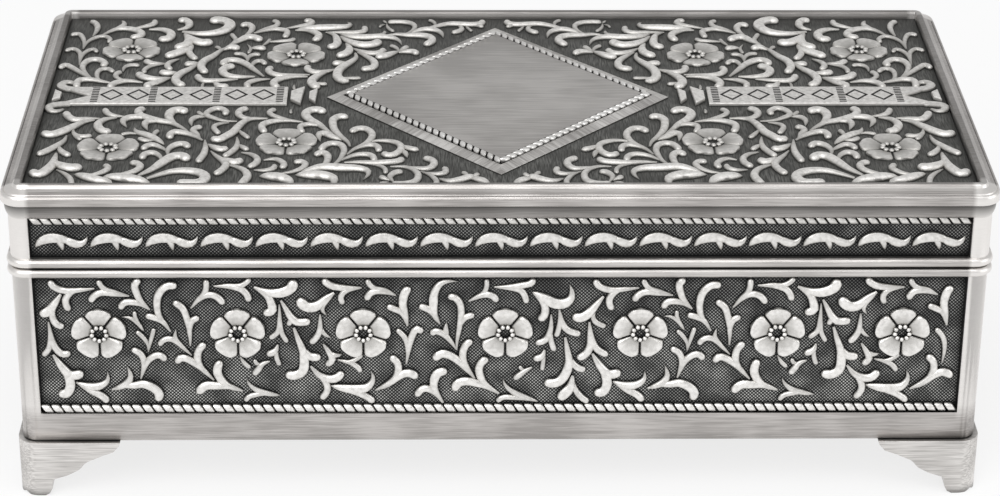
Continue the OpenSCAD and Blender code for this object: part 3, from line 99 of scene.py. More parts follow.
def addNode(tree, kind, settings=None, inputs=None):
    node = tree.nodes.new("ShaderNode" + kind)
    for name, value in (settings or {}).items():
        setattr(node, name, value)
    for name, value in (inputs or {}).items():
        if isinstance(value, bpy.types.NodeSocket):
            tree.links.new(value, node.inputs[name])
        else:
            node.inputs[name].default_value = value
    return node


def startMaterial(name, roughness, metallic):
    material = bpy.data.materials.new(name)
    material.use_nodes = True
    shader = material.node_tree.nodes["Principled BSDF"]
    shader.inputs["Roughness"].default_value = roughness
    shader.inputs["Metallic"].default_value = metallic
    return material, material.node_tree, shader


# Polish is the height above the field, in millimetres, at which the buff starts and is full
castRelief = {
    "hatchPitch": 0.53, "wallPolish": (0.3, 0.9), "lidPolish": (0.35, 0.95),
    "wallRough": 0.4, "lidRough": 0.55,
    "silver": "#f6f4f1", "silverShade": "#b6b4b0",
    "patina": "#141516", "hatchTop": "#fafaf6",
    "lidPatina": "#4c4c4a", "lidStreak": "#7a7a77",
}


def antiquedCasting(name, finish, hatched):
    # Zinc casting, silver plated, dipped dark and rubbed back by hand: soft shine on the raised
    # work, near black in the creases. reliefPlace holds millimetres along, across and off the field.
    material, tree, shader = startMaterial(name, 0.35, 1)
    place = addNode(tree, "Attribute", {"attribute_name": "reliefPlace"}).outputs["Vector"]
    spot = addNode(tree, "SeparateXYZ", None, {0: place}).outputs
    lift = spot["Z"]
    raised = addNode(tree, "MapRange", {"interpolation_type": "SMOOTHSTEP"},
                     {"Value": lift, "From Min": 0.06, "From Max": 0.42}).outputs[0]
    # Near the relief the ground is kept dark by ambient occlusion: partly patina the buff could not reach,
    # partly painted shade
    shelter = addNode(tree, "AmbientOcclusion", {"samples": 8}, {"Distance": 2.4 * mm}).outputs["AO"]
    openGround = addNode(tree, "MapRange", None,
                         {"Value": shelter, "From Min": 0.5, "From Max": 0.9}).outputs[0]
    if hatched:
        # Chased diamonds at the real 0.53 mm, as on the photographed field
        waves = []
        for direction in ((1, 1, 0), (1, -1, 0)):
            run = addNode(tree, "VectorMath", {"operation": "DOT_PRODUCT"}, {0: place, 1: direction})
            phase = addNode(tree, "Math", {"operation": "MULTIPLY"},
                            {0: run.outputs["Value"], 1: sqrt(2) * pi / finish["hatchPitch"]})
            wave = addNode(tree, "Math", {"operation": "SINE"}, {0: phase.outputs[0]})
            waves.append(addNode(tree, "Math", {"operation": "MULTIPLY_ADD"},
                                 {0: wave.outputs[0], 1: 0.5, 2: 0.5}).outputs[0])
        crossed = addNode(tree, "Math", {"operation": "MULTIPLY"}, {0: waves[0], 1: waves[1]}).outputs[0]
        grain = addNode(tree, "Math", {"operation": "POWER"}, {0: crossed, 1: 1.15}).outputs[0]
        dark, light = colour(finish["patina"]), colour(finish["hatchTop"])
    else:
        # Brush marks 0.3 mm wide and 3 mm long, from front to back
        stretched = addNode(tree, "Mapping", None, {"Vector": place, "Scale": (3.4, 0.3, 1)})
        brushed = addNode(tree, "TexNoise", None,
                          {"Vector": stretched.outputs[0], "Scale": 1, "Detail": 2}).outputs["Fac"]
        grain = addNode(tree, "MapRange", None,
                        {"Value": brushed, "From Min": 0.38, "From Max": 0.62}).outputs[0]
        dark, light = colour(finish["lidPatina"]), colour(finish["lidStreak"])
    # The buff wore the open ground in patches a few millimetres across
    patches = addNode(tree, "TexNoise", None, {"Vector": place, "Scale": 0.16, "Detail": 2}).outputs["Fac"]
    worn = addNode(tree, "MapRange", None,
                   {"Value": patches, "From Min": 0.38, "From Max": 0.62, "To Min": 0.4}).outputs[0]
    # and the hatch is kept darker towards the top of a wall, under the bead, and towards the lid's back edge
    fadeAlongY = addNode(tree, "MapRange", None, {"Value": spot["Y"], "From Min": 24, "From Max": 48,
                                               "To Min": 1, "To Max": 0.5}).outputs[0]
    patchy = addNode(tree, "Math", {"operation": "MULTIPLY"}, {0: worn, 1: fadeAlongY}).outputs[0]
    rubAndShade = addNode(tree, "Math", {"operation": "MULTIPLY"}, {0: patchy, 1: openGround}).outputs[0]
    hatchRubAndShade = addNode(tree, "Math", {"operation": "MULTIPLY"}, {0: grain, 1: rubAndShade}).outputs[0]
    ground = addNode(tree, "Mix", {"data_type": "RGBA"}, {0: hatchRubAndShade, 6: dark, 7: light}).outputs[2]
    # The buff brightened what stands highest
    low, high = finish["wallPolish"] if hatched else finish["lidPolish"]
    polish = addNode(tree, "MapRange", None, {"Value": lift, "From Min": low, "From Max": high}).outputs[0]
    mottle = addNode(tree, "TexNoise", None, {"Vector": place, "Scale": 1.1, "Detail": 4}).outputs["Fac"]
    uneven = addNode(tree, "MapRange", None, {"Value": mottle, "From Min": 0.3, "From Max": 0.7,
                                              "To Min": 0.55, "To Max": 1.25}).outputs[0]
    buffed = addNode(tree, "Math", {"operation": "MULTIPLY", "use_clamp": True},
                     {0: polish, 1: uneven}).outputs[0]
    tops = addNode(tree, "Mix", {"data_type": "RGBA"},
                   {0: buffed, 6: colour(finish["silverShade"]), 7: colour(finish["silver"])}).outputs[2]
    shown = addNode(tree, "Mix", {"data_type": "RGBA"}, {0: raised, 6: ground, 7: tops}).outputs[2]
    tree.links.new(shown, shader.inputs["Base Color"])
    rough = finish["wallRough"] if hatched else finish["lidRough"]
    dullness = addNode(tree, "MapRange", None, {"Value": raised, "To Min": 0.6, "To Max": rough}).outputs[0]
    tree.links.new(dullness, shader.inputs["Roughness"])
    bare = addNode(tree, "MapRange", None, {"Value": raised, "To Min": 0.8, "To Max": 1}).outputs[0]
    tree.links.new(bare, shader.inputs["Metallic"])
    sunk = addNode(tree, "Math", {"operation": "SUBTRACT"}, {0: 1.0, 1: raised}).outputs[0]
    tooling = addNode(tree, "Math", {"operation": "MULTIPLY"}, {0: grain, 1: sunk}).outputs[0]
    pitting = addNode(tree, "TexNoise", None, {"Vector": place, "Scale": 3.2, "Detail": 3}).outputs["Fac"]
    grit = addNode(tree, "Math", {"operation": "MULTIPLY_ADD"}, {0: pitting, 1: 0.5, 2: tooling}).outputs[0]
    bump = addNode(tree, "Bump", None, {"Strength": 0.7, "Distance": 0.06 * mm, "Height": grit})
    tree.links.new(bump.outputs[0], shader.inputs["Normal"])
    return material


def brushedSilver(name, bright, shade, cornerDipAndShade, roughness, lozengeTurn=None):
    # Silver plate brushed along each moulding: streaks 0.3 mm wide and 8 mm long that run with the edge,
    # and darker in the corners: on the silver partly the dark dip left there and partly painted shade,
    # on the steel parts and the base sheet painted shade only. On the lozenge's bevel they run across its
    # edges, so the four quarters are folded into one and turned until X lies along its edge.
    material, tree, shader = startMaterial(name, roughness, 1)
    coords = addNode(tree, "TexCoord")
    facing = addNode(tree, "SeparateXYZ", None, {0: coords.outputs["Normal"]}).outputs["X"]
    turned = addNode(tree, "Math", {"operation": "ABSOLUTE"}, {0: facing}).outputs[0]
    endFace = addNode(tree, "Math", {"operation": "GREATER_THAN"}, {0: turned, 1: 0.7}).outputs[0]
    alongX = addNode(tree, "Mapping", None, {"Vector": coords.outputs["Object"], "Scale": (120, 3600, 3600)})
    alongY = addNode(tree, "Mapping", None, {"Vector": coords.outputs["Object"], "Scale": (3600, 120, 3600)})
    run = addNode(tree, "Mix", {"data_type": "VECTOR"},
                  {0: endFace, 4: alongX.outputs[0], 5: alongY.outputs[0]}).outputs[1]
    if lozengeTurn is not None:
        quarter = addNode(tree, "VectorMath", {"operation": "ABSOLUTE"},
                          {0: coords.outputs["Object"]}).outputs[0]
        turned = addNode(tree, "Mapping", None,
                         {"Vector": quarter, "Rotation": (0, 0, lozengeTurn)}).outputs[0]
        run = addNode(tree, "Mapping", None, {"Vector": turned, "Scale": (1500, 90, 90)}).outputs[0]
    streak = addNode(tree, "TexNoise", None, {"Vector": run, "Scale": 1, "Detail": 3}).outputs["Fac"]
    broad = addNode(tree, "TexNoise", None,
                    {"Vector": coords.outputs["Object"], "Scale": 60, "Detail": 2}).outputs["Fac"]
    both = addNode(tree, "Math", {"operation": "ADD"}, {0: streak, 1: broad}).outputs[0]
    spread = addNode(tree, "MapRange", None, {"Value": both, "From Min": 0.8, "From Max": 1.2}).outputs[0]
    metal = addNode(tree, "Mix", {"data_type": "RGBA"}, {0: spread, 6: colour(bright), 7: colour(shade)})
    # Painted shade, with the silver's dip, where the ambient occlusion finds near surfaces
    shelter = addNode(tree, "AmbientOcclusion", {"samples": 8}, {"Distance": 2.2 * mm}).outputs["AO"]
    unoccludedShare = addNode(tree, "MapRange", None, {"Value": shelter, "From Min": 0.35, "From Max": 0.92}).outputs[0]
    shown = addNode(tree, "Mix", {"data_type": "RGBA"}, {0: unoccludedShare, 6: colour(cornerDipAndShade), 7: metal.outputs[2]})
    tree.links.new(shown.outputs[2], shader.inputs["Base Color"])
    bump = addNode(tree, "Bump", None, {"Strength": 0.35, "Distance": 0.02 * mm, "Height": streak})
    tree.links.new(bump.outputs[0], shader.inputs["Normal"])
    return material


# Reaches and heights in millimetres; a share is how far the colour goes to the buffed or the dark one, the
# dark one being dip and painted shade
frameWearAndShade = {
    "buffed": "#f4f1ee", "dip": "#403f3d",
    "postFrom": ((93.8, 94.8), (43.8, 44.8), (16.7, 20.7)), "postShare": 0.85,
    # Low, high and share of the beads at the seam and of the rim's outer edge
    "bands": ((50, 54.4, 0.2), (68.95, 69.6, 0.3)),
    # The cove's dark is dip and painted shade; the rim's inner walls and top get painted shade only
    "cove": (63.2, 66.4), "coveDipAndShadeShares": (0.1, 0.95), "innerShadeShare": 0.5, "rimTop": 69.84, "rimTopShadeShare": 0.35,
}


def wearAndShadeFrame(material, wearAndShade):
    # The buffing wheel brightened the corner posts most, the rim and the beads at the seam a little.
    # The lid's cove darkens towards the moulding above it, partly dip and partly painted shade,
    # and the rim's inner walls and a little of its top are darkened with painted shade
    tree = material.node_tree
    shader = tree.nodes["Principled BSDF"]
    brushed = shader.inputs["Base Color"].links[0].from_socket
    spot = addNode(tree, "SeparateXYZ", None, {0: addNode(tree, "TexCoord").outputs["Object"]}).outputs
    away = [addNode(tree, "Math", {"operation": "ABSOLUTE"}, {0: spot[axis]}).outputs[0] for axis in "XYZ"]
    share = wearAndShade["postShare"]
    for distance, (start, full) in zip(away, wearAndShade["postFrom"]):
        onPost = addNode(tree, "MapRange", None,
                         {"Value": distance, "From Min": start * mm, "From Max": full * mm})
        share = addNode(tree, "Math", {"operation": "MULTIPLY"}, {0: onPost.outputs[0], 1: share}).outputs[0]
    for low, high, amount in wearAndShade["bands"]:
        band = addNode(tree, "Math", {"operation": "COMPARE"},
                       {0: spot["Z"], 1: (low + high) / 2 * mm, 2: (high - low) / 2 * mm})
        buffed = addNode(tree, "Math", {"operation": "MULTIPLY"}, {0: band.outputs[0], 1: amount}).outputs[0]
        share = addNode(tree, "Math", {"operation": "MAXIMUM"}, {0: share, 1: buffed}).outputs[0]
    bright = addNode(tree, "Mix", {"data_type": "RGBA"},
                     {0: share, 6: brushed, 7: colour(wearAndShade["buffed"])}).outputs[2]
    # Darker towards the moulding over the cove: partly dip, partly painted shade
    low, high = [edge * mm for edge in wearAndShade["cove"]]
    least, most = wearAndShade["coveDipAndShadeShares"]
    inCove = addNode(tree, "Math", {"operation": "COMPARE"},
                     {0: spot["Z"], 1: (low + high) / 2, 2: (high - low) / 2}).outputs[0]
    depth = addNode(tree, "MapRange", None, {"Value": spot["Z"], "From Min": low, "From Max": high,
                                             "To Min": least, "To Max": most}).outputs[0]
    dark = addNode(tree, "Math", {"operation": "MULTIPLY"}, {0: inCove, 1: depth}).outputs[0]
    # Painted shade on the rim's inner walls and on its top
    inner = addNode(tree, "Math", {"operation": "GREATER_THAN"}, {0: spot["Z"], 1: high}).outputs[0]
    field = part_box("lid_top_plate")[1]
    for distance, edge in ((away[0], field[0]), (away[1], field[1])):
        nearer = addNode(tree, "Math", {"operation": "LESS_THAN"}, {0: distance, 1: edge + 0.3 * mm})
        inner = addNode(tree, "Math", {"operation": "MULTIPLY"}, {0: inner, 1: nearer.outputs[0]}).outputs[0]
    rimTop = addNode(tree, "Math", {"operation": "GREATER_THAN"},
                     {0: spot["Z"], 1: wearAndShade["rimTop"] * mm}).outputs[0]
    for place, amount in ((inner, wearAndShade["innerShadeShare"]), (rimTop, wearAndShade["rimTopShadeShare"])):
        shadedShare = addNode(tree, "Math", {"operation": "MULTIPLY"}, {0: place, 1: amount}).outputs[0]
        dark = addNode(tree, "Math", {"operation": "MAXIMUM"}, {0: dark, 1: shadedShare}).outputs[0]
    shown = addNode(tree, "Mix", {"data_type": "RGBA"}, {0: dark, 6: bright, 7: colour(wearAndShade["dip"])})
    tree.links.new(shown.outputs[2], shader.inputs["Base Color"])


def velvetNap(name, sheenedPile, plainPile):
    # Cotton velvet glued over board: deep colour, lifted in random patches by a painted sheen, as where the
    # pile leans
    material, tree, shader = startMaterial(name, 0.9, 0)
    coords = addNode(tree, "TexCoord")
    nap = addNode(tree, "TexNoise", None, {"Vector": coords.outputs["Object"], "Scale": 90, "Detail": 3,
                                           "Distortion": 0.6}).outputs["Fac"]
    # Painted sheen: lighter velvet colour in random patches
    sheenPatches = addNode(tree, "MapRange", None, {"Value": nap, "From Min": 0.35, "From Max": 0.65}).outputs[0]
    # Pile tufts drawn 0.4 mm apart, twice the real spacing, so that they show
    tufts = addNode(tree, "TexNoise", None,
                    {"Vector": coords.outputs["Object"], "Scale": 2500, "Detail": 1}).outputs["Fac"]
    shown = addNode(tree, "Mix", {"data_type": "RGBA"}, {0: sheenPatches, 6: colour(plainPile), 7: colour(sheenedPile)})
    tree.links.new(shown.outputs[2], shader.inputs["Base Color"])
    shader.inputs["Sheen Weight"].default_value = 0.7
    shader.inputs["Sheen Roughness"].default_value = 0.4
    shader.inputs["Sheen Tint"].default_value = colour("#8fa0d8")
    bump = addNode(tree, "Bump", None, {"Strength": 0.6, "Distance": 0.15 * mm, "Height": tufts})
    tree.links.new(bump.outputs[0], shader.inputs["Normal"])
    return material


def paperWhiteFloor(name):
    # Matt white paper sweep; the camera and the metal see it a little whiter than the lamps make it
    material, tree, shader = startMaterial(name, 0.9, 0)
    shader.inputs["Base Color"].default_value = colour("#f6f6f6")
    path = addNode(tree, "LightPath")
    seen = addNode(tree, "Math", {"operation": "MAXIMUM"},
                   {0: path.outputs["Is Camera Ray"], 1: path.outputs["Is Glossy Ray"]}).outputs[0]
    anyway = addNode(tree, "Math", {"operation": "MAXIMUM"},
                     {0: seen, 1: path.outputs["Is Transmission Ray"]}).outputs[0]
    white = addNode(tree, "Emission", None, {"Color": (1, 1, 1, 1), "Strength": 1})
    half = addNode(tree, "Math", {"operation": "MULTIPLY"}, {0: anyway, 1: 0.75}).outputs[0]
    mixed = addNode(tree, "MixShader", None, {0: half, 1: shader.outputs[0], 2: white.outputs[0]})
    tree.links.new(mixed.outputs[0], tree.nodes["Material Output"].inputs["Surface"])
    return material


wallRelief = antiquedCasting("hatchedCastSilver", castRelief, True)
lidRelief = antiquedCasting("streakedCastSilver", castRelief, False)
# The fourth colour darkens the corners: dip and painted shade on the silver, painted shade on the steel
frameSilver = brushedSilver("brushedSilverPlate", "#cbc7c4", "#a6a29f", "#3c3c3b", 0.4)
wearAndShadeFrame(frameSilver, frameWearAndShade)
footSilver = brushedSilver("castFootSilver", "#eeebe8", "#bcb9b6", "#757371", 0.4)
plaqueSilver = brushedSilver("brushedPlaqueSilver", "#d0cdca", "#b2afac", "#3a3a3b", 0.38)
ropeSilver = brushedSilver("buffedRopeSilver", "#fbfaf8", "#e8e6e3", "#777573", 0.4)
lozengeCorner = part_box("engraving_plaque")[1]
bevelSilver = brushedSilver("crossBrushedBevel", "#f0eeeb", "#b0adaa", "#3a3a3b", 0.42,
                            atan2(lozengeCorner[1], lozengeCorner[0]))
hingeNickel = brushedSilver("rolledNickelSteel", "#b8b6b2", "#8f8d8a", "#2b2b2b", 0.3)
baseSheet = brushedSilver("rolledBaseSheet", "#b9b7b3", "#9a9895", "#333333", 0.42)
screwSteel = brushedSilver("turnedSteel", "#a8a6a3", "#858380", "#222222", 0.28)
engravedShadow = brushedSilver("engravedShadow", "#454443", "#2f2e2e", "#1c1c1c", 0.6)
liningVelvet = velvetNap("midnightVelvet", "#27356b", "#141c40")
print("materials made")

# ---- shared modelling steps


def addPiece(name, bm, material, body, replaced=(), sharpAngle=40):
    mesh = bpy.data.meshes.new(name)
    bm.to_mesh(mesh)
    bm.free()
    mesh.materials.append(material)
    mesh.shade_smooth()
    mesh.set_sharp_from_angle(angle=radians(sharpAngle))
    piece = bpy.data.objects.new(name, mesh)
    scene.collection.objects.link(piece)
    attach(piece, body)
    if replaced:
        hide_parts(*replaced)
    return piece


def stamp(bm, mesh, matrix):
    # Adds a copy of a small mesh, placed by the matrix
    copy = mesh.copy()
    copy.transform(matrix)
    bm.from_mesh(copy)
    bpy.data.meshes.remove(copy)


def keepMesh(name, bm):
    mesh = bpy.data.meshes.new(name)
    bmesh.ops.recalc_face_normals(bm, faces=bm.faces)
    bm.to_mesh(mesh)
    bm.free()
    return mesh


def softenedCopy(node, material, body, edge, postEdge=0, sharpAngle=30):
    # The solid's own shape with its sharp edges rounded as a casting's are,
    # and the upright edges of the corner posts rounded more
    bm = bmesh.new()
    bm.from_mesh(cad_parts[node].data)
    bmesh.ops.remove_doubles(bm, verts=bm.verts, dist=0.002 * mm)
    bmesh.ops.dissolve_limit(bm, angle_limit=radians(0.6), verts=bm.verts, edges=bm.edges, delimit={"NORMAL"})
    low, high = [Vector(corner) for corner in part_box(node)]
    if postEdge:
        upright = [e for e in bm.edges if e.is_manifold and e.calc_face_angle_signed(0) > radians(60)
                   and abs(e.verts[0].co.z - e.verts[1].co.z) > 6 * mm and outerEdge(e, low, high)]
        bmesh.ops.bevel(bm, geom=upright, offset=postEdge * mm, segments=3, affect="EDGES", profile=0.5,
                        material=-1, clamp_overlap=True)
    sharp = [e for e in bm.edges if e.is_manifold and e.calc_face_angle(0) > radians(sharpAngle)]
    bmesh.ops.bevel(bm, geom=sharp, offset=edge * mm, segments=2, affect="EDGES", profile=0.5, material=-1,
                    clamp_overlap=True, loop_slide=True)
    bmesh.ops.remove_doubles(bm, verts=bm.verts, dist=0.002 * mm)
    for v in bm.verts:
        v.co = [min(max(c, a), b) for c, a, b in zip(v.co, low, high)]
    words = node.split("_")
    name = words[0] + "".join(w.capitalize() for w in words[1:]) + "Cast"
    return addPiece(name, bm, material, body, [node], 34)


def outerEdge(e, low, high):
    # True for an edge within 2 mm of the box's side faces
    middle = (e.verts[0].co + e.verts[1].co) / 2
    return any(middle[i] - low[i] < 2 * mm or high[i] - middle[i] < 2 * mm for i in (0, 1))


# ---- relief work: scroll arms, flowers, leaves and ropes, drawn flat and then laid on a side

reliefShape = {
    "wallLift": 0.98, "lidLift": 1.3, "leafLift": 0.78,
    "ringStep": 0.75, "rootWidth": 0.3, "wallArmScale": 1.1, "lidArmScale": 0.86,
}


def smoothPath(points):
    # A soft line through given points, as short straight steps
    spots = [Vector((x, y, 0)) for x, y in points]
    line = []
    for i in range(len(spots) - 1):
        start, stop = spots[i], spots[i + 1]
        reach = (stop - start).length / 3
        leave = (stop - spots[i - 1] if i > 0 else stop - start).normalized() * reach
        arrive = (spots[i + 2] - start if i + 2 < len(spots) else stop - start).normalized() * reach
        line += bezierSteps(start, start + leave, stop - arrive, stop)[0 if i == 0 else 1:]
    return line


def bezierSteps(a, b, c, d, steps=8):
    return [a * (1 - t) ** 3 + b * 3 * t * (1 - t) ** 2 + c * 3 * t * t * (1 - t) + d * t ** 3
            for t in [i / steps for i in range(steps + 1)]]


def armStations(width, points):
    # Places and half widths along one arm: from a thin root to a fat round end,
    # or to a point where the width is given as negative
    line = smoothPath(points)
    lengths = [0]
    for a, b in zip(line, line[1:]):
        lengths.append(lengths[-1] + (b - a).length)
    total, fat = lengths[-1], abs(width) / 2
    count = max(3, round(total / reliefShape["ringStep"]))
    if width > 0:
        body = max(total - fat, total * 0.5)
        marks = [body * i / count for i in range(count + 1)]
        marks += [body + (total - body) * sin(radians(a)) for a in (35, 62, 82, 90)]
    else:
        marks = [total * i / count for i in range(count + 1)]
    stations = []
    segment = 0
    for mark in marks:
        while segment < len(line) - 2 and lengths[segment + 1] < mark:
            segment += 1
        span = lengths[segment + 1] - lengths[segment]
        spot = line[segment].lerp(line[segment + 1], min(1, (mark - lengths[segment]) / span))
        share = mark / total
        if width > 0:
            root = reliefShape["rootWidth"]
            half = fat * (root + (1 - root) * sin(pi / 2 * min(1, share / 0.7)))
            if mark > body:
                half *= max(0.04, sqrt(max(0, 1 - ((mark - body) / (total - body)) ** 2)))
        else:
            half = fat * max(0.06, 0.15 * (1 - share) + max(0, sin(pi * share ** 0.85)) ** 0.8)
        stations.append((spot, half))
    return stations


def domeProfile():
    # Section of an arm: flat back a little under the field and a full rounded top
    profile = bpy.data.curves.new("domeProfile", "CURVE")
    profile.dimensions = "2D"
    section = [(cos(pi * i / 6), 0.95 * sin(pi * i / 6)) for i in range(7)]
    section.append((-0.9, -0.25))
    section.append((0.9, -0.25))
    outline = profile.splines.new("POLY")
    outline.points.add(len(section) - 1)
    for point, (x, y) in zip(outline.points, section):
        point.co = (x * mm, y * mm, 0, 1)
    outline.use_cyclic_u = True
    shape = bpy.data.objects.new("domeProfile", profile)
    scene.collection.objects.link(shape)
    return shape


def sweepArms(bm, arms, lift):
    # All arms are swept with one domed section by Blender's curves, then joined to the relief
    profile = domeProfile()
    curve = bpy.data.curves.new("armPaths", "CURVE")
    curve.dimensions = "2D"
    curve.fill_mode = "NONE"
    curve.bevel_mode = "OBJECT"
    curve.bevel_object = profile
    curve.use_fill_caps = True
    for width, points in arms:
        stations = armStations(width, points)
        spline = curve.splines.new("POLY")
        spline.points.add(len(stations) - 1)
        for point, (spot, half) in zip(spline.points, stations):
            point.co = (spot.x * mm, spot.y * mm, 0, 1)
            point.radius = half
    paths = bpy.data.objects.new("armPaths", curve)
    scene.collection.objects.link(paths)
    bpy.context.view_layer.update()
    swept = bpy.data.meshes.new_from_object(paths.evaluated_get(bpy.context.evaluated_depsgraph_get()))
    for v in swept.vertices:
        if v.co.z > 0:
            # Thin arms stand almost as high as fat ones, as in the casting
            v.co.z = lift * mm * (v.co.z / (lift * mm)) ** 0.7
            v.co.z = min(v.co.z, lift * mm)
    bm.from_mesh(swept)
    for thing in (paths, profile):
        bpy.data.objects.remove(thing)


flowerShape = {
    "petalCount": 5, "petalFrom": 1.75, "petalTo": 6.5, "petalHalf": 3.1, "petalDroop": 0.35,
    "petalGap": 0.17, "petalLift": 0.98,
    "beadCount": 9, "beadRing": 1.65, "beadHeight": 0.42, "beadHalf": (0.6, 0.54, 0.5),
}


def petalMesh(shape):
    # One petal along +Y: straight sides that follow its fifth of the flower, a broad rounded end,
    # steep edges, the face sinking from its rim towards the heart
    bm = bmesh.new()
    bmesh.ops.create_grid(bm, x_segments=12, y_segments=12, size=1)
    reach = shape["petalTo"] - shape["petalFrom"]
    for v in bm.verts:
        across, along = sin(pi / 2 * v.co.x), (sin(pi / 2 * v.co.y) + 1) / 2
        y = shape["petalFrom"] + reach * along
        side = (y * sin(pi / shape["petalCount"]) - shape["petalGap"]) / cos(pi / shape["petalCount"])
        rounding = sqrt(1 - 0.92 * max(0, (along - 0.58) / 0.42) ** 2.6)
        x = min(side, shape["petalHalf"]) * across * rounding
        y -= shape["petalDroop"] * across ** 2 * along
        edge = max(abs(across), abs(2 * along - 1))
        if edge > 0.99:
            z = -0.1
        else:
            rim = max(abs(across), 2 * along - 1, 0)
            sink = 0.32 + 0.68 * min(1, along / 0.65)
            z = shape["petalLift"] * sink * (0.8 + 0.2 * rim ** 2) * min(1, (1 - edge) / 0.2) ** 0.5
        v.co = (x * mm, y * mm, z * mm)
    return keepMesh("petal", bm)


def flowerMesh(shape):
    bm = bmesh.new()
    petal = petalMesh(shape)
    for i in range(shape["petalCount"]):
        stamp(bm, petal, Matrix.Rotation(2 * pi * i / shape["petalCount"], 4, "Z"))
    for i in range(shape["beadCount"]):
        turn = Matrix.Rotation(2 * pi * (i + 0.5) / shape["beadCount"], 4, "Z")
        out = Matrix.Translation((0, shape["beadRing"] * mm, shape["beadHeight"] * mm))
        along, across, upright = [half * mm for half in shape["beadHalf"]]
        swell = Matrix.Diagonal((across, along, upright, 1))
        bmesh.ops.create_uvsphere(bm, u_segments=8, v_segments=6, radius=1, matrix=turn @ out @ swell)
    return keepMesh("flower", bm)


def strandMesh(pitch, radius, lift, roundness=0.42):
    # One fat twist of a rope, leaning from upper left to lower right. Roundness 1 gives a full round
    # section and a small one a square section.
    bm = bmesh.new()
    bmesh.ops.create_uvsphere(bm, u_segments=12, v_segments=6, radius=1)
    for v in bm.verts:
        powers = (0.42, roundness, roundness)
        x, y, z = [abs(c) ** power * (1 if c > 0 else -1) for c, power in zip(v.co, powers)]
        crown = sqrt(max(0, 1 - (0.8 * y) ** 2))
        height = lift - radius + radius * z * crown
        v.co = Vector(((x * 0.45 - y * 0.28) * pitch, y * radius, height)) * mm
    return keepMesh("strand", bm)


def layRope(bm, length, y, radius, pitch, lift):
    count = round(length / pitch)
    strand = strandMesh(length / count, radius, lift)
    for i in range(count):
        stamp(bm, strand, Matrix.Translation(((-length / 2 + length / count * (i + 0.5)) * mm, y * mm, 0)))


def layPlate(bm, x, y0, y1, back):
    # The plate that the relief is cast on, its face at height 0
    middle = Matrix.Translation((0, (y0 + y1) / 2 * mm, -back / 2 * mm))
    size = Matrix.Diagonal((2 * x * mm, (y1 - y0) * mm, back * mm, 1))
    plate = bmesh.ops.create_cube(bm, size=1, matrix=middle @ size)
    edges = list({e for v in plate["verts"] for e in v.link_edges})
    bmesh.ops.bevel(bm, geom=edges, offset=0.12 * mm, segments=2, affect="EDGES", profile=0.5, material=-1)


def noteReliefPlace(bm):
    layer = bm.verts.layers.float_vector.new("reliefPlace")
    for v in bm.verts:
        v[layer] = v.co / mm


